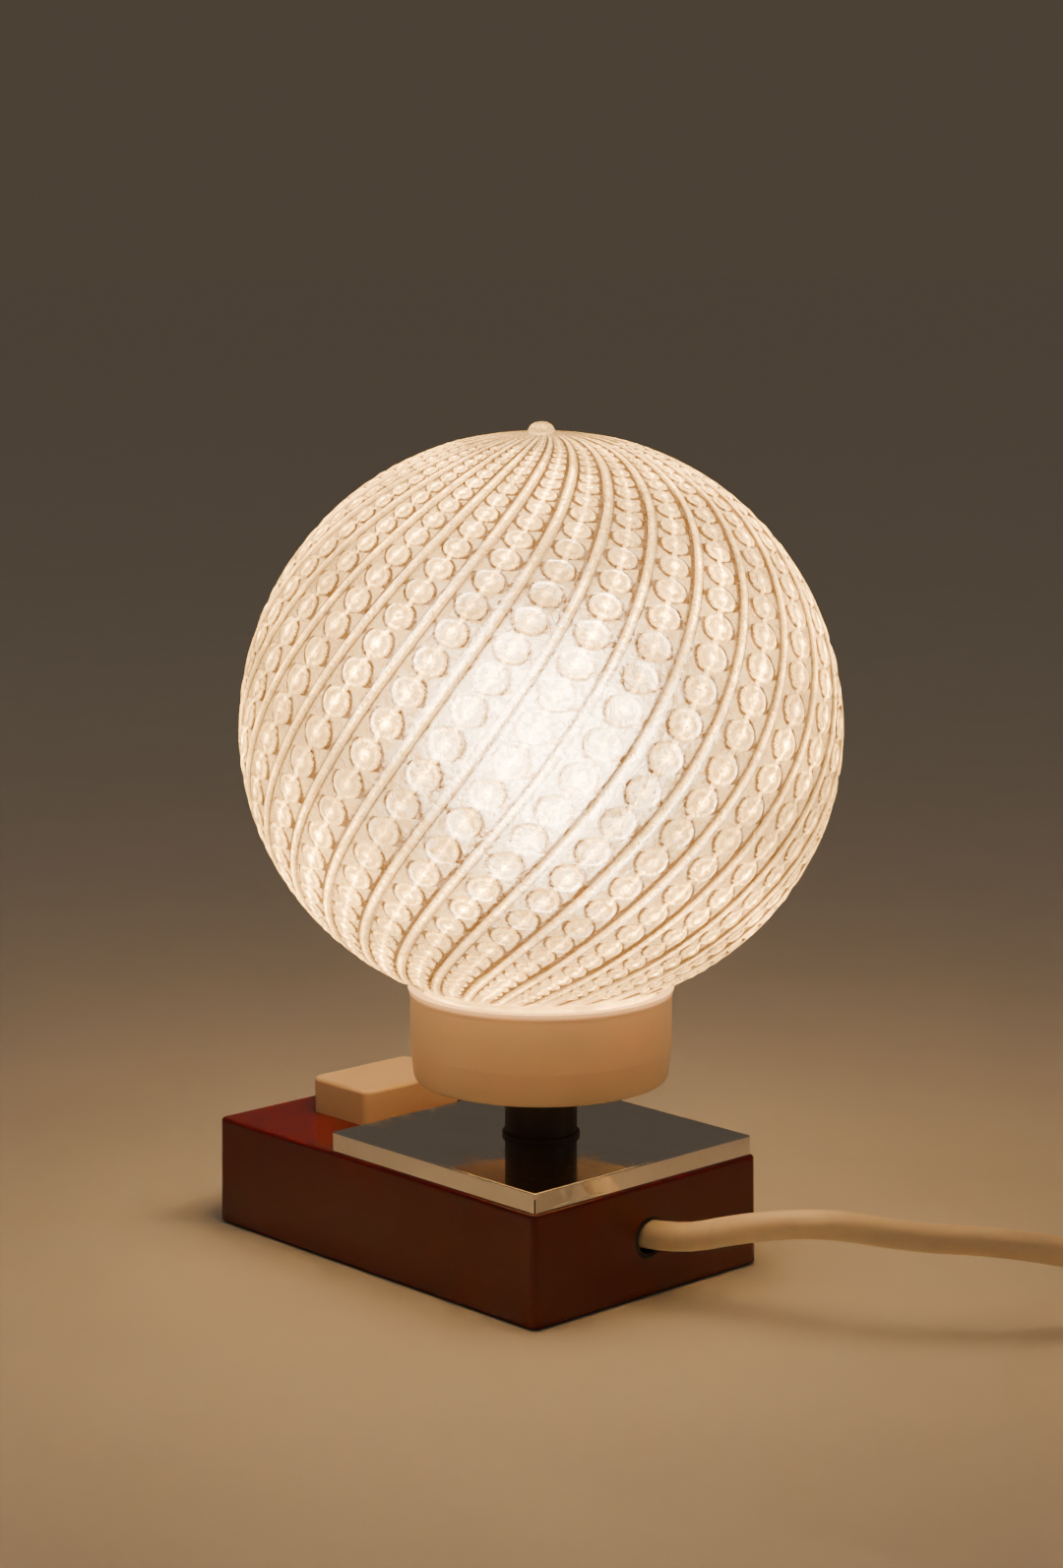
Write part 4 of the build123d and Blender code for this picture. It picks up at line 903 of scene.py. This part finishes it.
class NIGHTLIGHT_OT_switch(Operator):
    """Finish the push button and its switch, and coil the return spring"""

    bl_idname = "nightlight.switch"
    bl_label = "Push Button and Switch"

    # The return spring: its wire, its turns, the steps in a turn, and the share of each flat end
    wire = 0.4 * MM
    wire_sides = 10
    turns, steps = 6, 18
    flat_end = 0.06

    def execute(self, context):
        dress(cream_plastic("cream moulding", context.scene.nightlight_finish).material, "switch_button")
        dark = moulded("dark thermoset", (0.05, 0.042, 0.038), 0.3, 0.5)
        dress(dark.material, "switch_body", "switch_plunger", "switch_rotor")
        dress(metal("contact brass", (0.78, 0.58, 0.27), 0.22, 0.4, stained=0.3), "switch_blades")
        sleeve = moulded("shrink sleeve", (0.62, 0.58, 0.48), 0.3, 0.45, dust=0.1)
        dress(sleeve.material, "switch_blade_sleeves")
        self.coil_spring()
        return {"FINISHED"}

    def coil_spring(self):
        """A wire spring with flat ends that the button squeezes."""
        low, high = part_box("switch_spring")
        mean = (high.x - low.x) / 2 - self.wire
        x, z0, z1 = (low.x + high.x) / 2, low.z + self.wire, high.z - self.wire
        shares = np.linspace(0, 1, self.turns * self.steps + 1)
        angles = 2 * math.pi * self.turns * shares
        rise = np.clip((shares - self.flat_end) / (1 - 2 * self.flat_end), 0, 1)
        middle = np.column_stack([x + mean * np.cos(angles), mean * np.sin(angles), z0 + (z1 - z0) * rise])
        rings = tube_rings(middle, self.wire, self.wire_sides)
        mesh = ring_mesh("return_spring", rings, middle[0], middle[-1])
        steel = metal("spring wire", (0.55, 0.55, 0.55), 0.16, 0.3)
        spring = link("return_spring", mesh, steel, "base")
        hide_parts("switch_spring")
        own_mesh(spring)


def tube_rings(line, radius, around):
    """Rings of points square to a line."""
    ahead = np.gradient(line, axis=0)
    ahead /= np.linalg.norm(ahead, axis=1)[:, None]
    side = np.cross(ahead, [0.0, 0.0, 1.0])
    side /= np.linalg.norm(side, axis=1)[:, None]
    rise = np.cross(side, ahead)
    turn = 2 * np.pi * np.arange(around)[:, None] / around
    return line[:, None] + radius * (np.cos(turn) * side[:, None] + np.sin(turn) * rise[:, None])


def coil_points():
    """Points along the coil, clockwise seen from above: in along the table, up, then out on top."""
    spiral = (coil_turns - coil_climb) / 2
    outer = coil_mean_radius + coil_pitch * spiral / 2
    inner = outer - coil_pitch * spiral
    low = coil_lift + cord_radius / MM
    ease = math.cos(math.pi / coil_steps)
    points = []
    for turn in np.linspace(0, coil_turns, round(coil_turns * coil_steps) + 1):
        if turn <= spiral:
            radius, z = outer - coil_pitch * turn, low
        elif turn >= spiral + coil_climb:
            radius, z = inner + coil_pitch * (turn - spiral - coil_climb), low + coil_pitch
        else:
            share = (turn - spiral) / coil_climb
            radius = inner - coil_pitch / (2 * math.pi) * math.sin(math.pi * share)
            z = low + coil_pitch * (1 - math.cos(math.pi * share)) / 2
        angle = math.radians(coil_start - 360 * turn)
        radius /= ease
        points.append(Vector((coil_centre[0] + radius * math.cos(angle),
                              coil_centre[1] + radius * math.sin(angle), z)))
    return points


class NIGHTLIGHT_OT_cord(Operator):
    """Lay the mains cord from the base to its coil, with its tie and plug"""

    bl_idname = "nightlight.cord"
    bl_label = "Mains Cord and Plug"

    def execute(self, context):
        sheath = cord_sheath(context.scene.nightlight_finish)
        coil = coil_points()
        into = (coil[1] - coil[0]).normalized()
        out = (coil[-1] - coil[-2]).normalized()
        start = coil[0] - into * 2 * cord_radius / MM
        lay = [Vector(p) for p in cord_points] + [start - into * coil_approach] + coil
        lay.append(coil[-1] + out * (tail_length + 2 * cord_radius / MM))
        points = [p * MM for p in lay]
        cord = curve_piece("mains_cord", points, cord_radius, sheath, "base")
        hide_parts("supply_cord", "supply_cord_coil", "supply_cord_tail")
        plug_parts = ["plug_boot", "plug_body"]
        dress(sheath, *plug_parts)
        dress(rubber("bushing rubber", (0.02, 0.012, 0.01)), "cord_bushing")
        dress(metal("pin brass", (0.8, 0.66, 0.4), 0.18, 0.32), "plug_pins")
        dress(moulded("tie nylon", (0.72, 0.7, 0.64), 0.3, 0.45).material, "cord_tie")
        dress(moulded("clamp nylon", (0.7, 0.68, 0.6), 0.35, 0.5).material, "cord_clamp")
        return {"FINISHED"}


class NIGHTLIGHT_OT_leads(Operator):
    """Run the three leads between cord, switch and lampholder"""

    bl_idname = "nightlight.leads"
    bl_label = "Leads"

    def execute(self, context):
        blue = moulded("blue lead", (0.03, 0.10, 0.36), 0.35, 0.5, dust=0.1).material
        brown = moulded("brown lead", (0.14, 0.055, 0.022), 0.35, 0.5, dust=0.1).material
        for node, corners in lead_routes.items():
            material, slot = (blue, "lead_blue") if node == "neutral_lead" else (brown, "lead_brown")
            points = [point * MM for point in eased(corners, lead_bend)]
            lead = curve_piece("run_of_" + node, points, lead_radius, material, "base")
            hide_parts(node)
        return {"FINISHED"}


def eased(corners, bend):
    """The corners of a route with a point on either side of each, so that its curve stays near them."""
    corners = [Vector(corner) for corner in corners]
    points = [corners[0]]
    for before, corner, after in zip(corners, corners[1:], corners[2:]):
        for other in (before, after):
            reach = min(bend, (other - corner).length * lead_bend_share)
            points.append(corner + (other - corner).normalized() * reach)
        points.insert(-1, corner)
    return points + [corners[-1]]


class NIGHTLIGHT_OT_stage(Operator):
    """Set up the pale floor, soft light and the camera"""

    bl_idname = "nightlight.stage"
    bl_label = "Stage"

    camera_place = (0.5797, -0.5483, 0.2590)
    camera_look = (-0.7183, 0.6753, -0.1673)
    room_colour = (1.0, 0.81, 0.61)
    horizon_fade = (0.08, 0.5)
    floor_reach = 14.0
    # The soft lamps: name, place, size and share of the main lamp's power, then their colour and aim
    soft_lamps = (("key", (-0.5, -1.3, 1.5), 1.2, 1.0), ("fill", (1.5, 0.6, 0.9), 1.4, 0.35))
    lamp_colour = (1.0, 0.86, 0.71)
    lamp_aim = (0, 0, 0.09)

    def execute(self, context):
        settings = context.scene.nightlight_stage
        self.lay_floor(settings)
        self.light_room(settings)
        self.place_camera(context, settings)
        return {"FINISHED"}

    def lay_floor(self, settings):
        """A plain matt floor, wide enough for every view."""
        mesh = bpy.data.meshes.new("floor")
        reach = self.floor_reach
        corners = [(-reach, -reach, 0), (reach, -reach, 0), (reach, reach, 0), (-reach, reach, 0)]
        mesh.from_pydata(corners, [], [(0, 1, 2, 3)])
        finish = Finish("pale floor", settings.floor, 0.75)
        grain = finish.spread(finish.noise(40 * MM, detail=4.0), 0.3, 0.7)
        finish.wire("Base Color", finish.mix(grain, shaded(settings.floor, 0.97), settings.floor))
        mesh.materials.append(finish.material)
        floor = put("floor", mesh)

    def light_room(self, settings):
        """Even room light that fades to the far floor's colour at the horizon, and two soft lamps."""
        world = bpy.data.worlds.new("room")
        bpy.context.scene.world = world
        room = Nodes(world)
        background = room.tree.nodes["Background"]
        background.inputs["Strength"].default_value = settings.sky
        rise = room.upward(room.add("ShaderNodeTexCoord").outputs["Generated"])
        far_floor = [a * b for a, b in zip(self.room_colour, settings.floor)]
        fade = room.mix(room.spread(rise, *self.horizon_fade), far_floor, self.room_colour)
        room.feed(fade, background.inputs["Color"])
        for name, spot, size, share in self.soft_lamps:
            self.soft_lamp(name, spot, size, settings.key * share)

    def soft_lamp(self, name, place, size, power):
        data = bpy.data.lights.new(name, "AREA")
        data.shape = "DISK"
        data.size = size
        data.energy = power
        data.color = self.lamp_colour
        lamp = put(name, data)
        lamp.location = place
        aim = Vector(self.lamp_aim) - Vector(place)
        lamp.rotation_euler = aim.to_track_quat("-Z", "Y").to_euler()

    def place_camera(self, context, settings):
        data = bpy.data.cameras.new("photo_camera")
        data.sensor_width = 36.0
        data.lens = settings.lens
        data.clip_start = 0.02
        camera = put("photo_camera", data)
        camera.location = self.camera_place
        camera.rotation_euler = Vector(self.camera_look).to_track_quat("-Z", "Y").to_euler()
        context.scene.camera = camera


class NIGHTLIGHT_PT_lamp(Panel):
    """Sidebar panel with the lamp's settings and steps"""

    bl_idname = "NIGHTLIGHT_PT_lamp"
    bl_label = "Night Light"
    bl_space_type = "VIEW_3D"
    bl_region_type = "UI"
    bl_category = "Night Light"

    def draw(self, context):
        layout = self.layout
        for name in SETTINGS:
            group = getattr(context.scene, name)
            box = layout.box()
            for prop in group.bl_rna.properties:
                if prop.identifier not in {"rna_type", "name"}:
                    box.prop(group, prop.identifier)
        for step in STEPS:
            layout.operator(step.bl_idname)


SETTINGS = {
    "nightlight_globe": GlobeSettings,
    "nightlight_bulb": BulbSettings,
    "nightlight_finish": FinishSettings,
    "nightlight_stage": StageSettings,
}
STEPS = (
    NIGHTLIGHT_OT_stage,
    NIGHTLIGHT_OT_cord,
    NIGHTLIGHT_OT_globe,
    NIGHTLIGHT_OT_bulb,
    NIGHTLIGHT_OT_collar,
    NIGHTLIGHT_OT_stem,
    NIGHTLIGHT_OT_holder,
    NIGHTLIGHT_OT_base,
    NIGHTLIGHT_OT_switch,
    NIGHTLIGHT_OT_leads,
)


def register():
    for group in SETTINGS.values():
        bpy.utils.register_class(group)
    for name, group in SETTINGS.items():
        setattr(bpy.types.Scene, name, PointerProperty(type=group))
    for step in STEPS:
        bpy.utils.register_class(step)
    bpy.utils.register_class(NIGHTLIGHT_PT_lamp)


def unregister():
    bpy.utils.unregister_class(NIGHTLIGHT_PT_lamp)
    for step in reversed(STEPS):
        bpy.utils.unregister_class(step)
    for name, group in SETTINGS.items():
        delattr(bpy.types.Scene, name)
        bpy.utils.unregister_class(group)


def main():
    register()
    for step in STEPS:
        group, name = step.bl_idname.split(".")
        getattr(getattr(bpy.ops, group), name)()


if __name__ == "__main__":
    main()
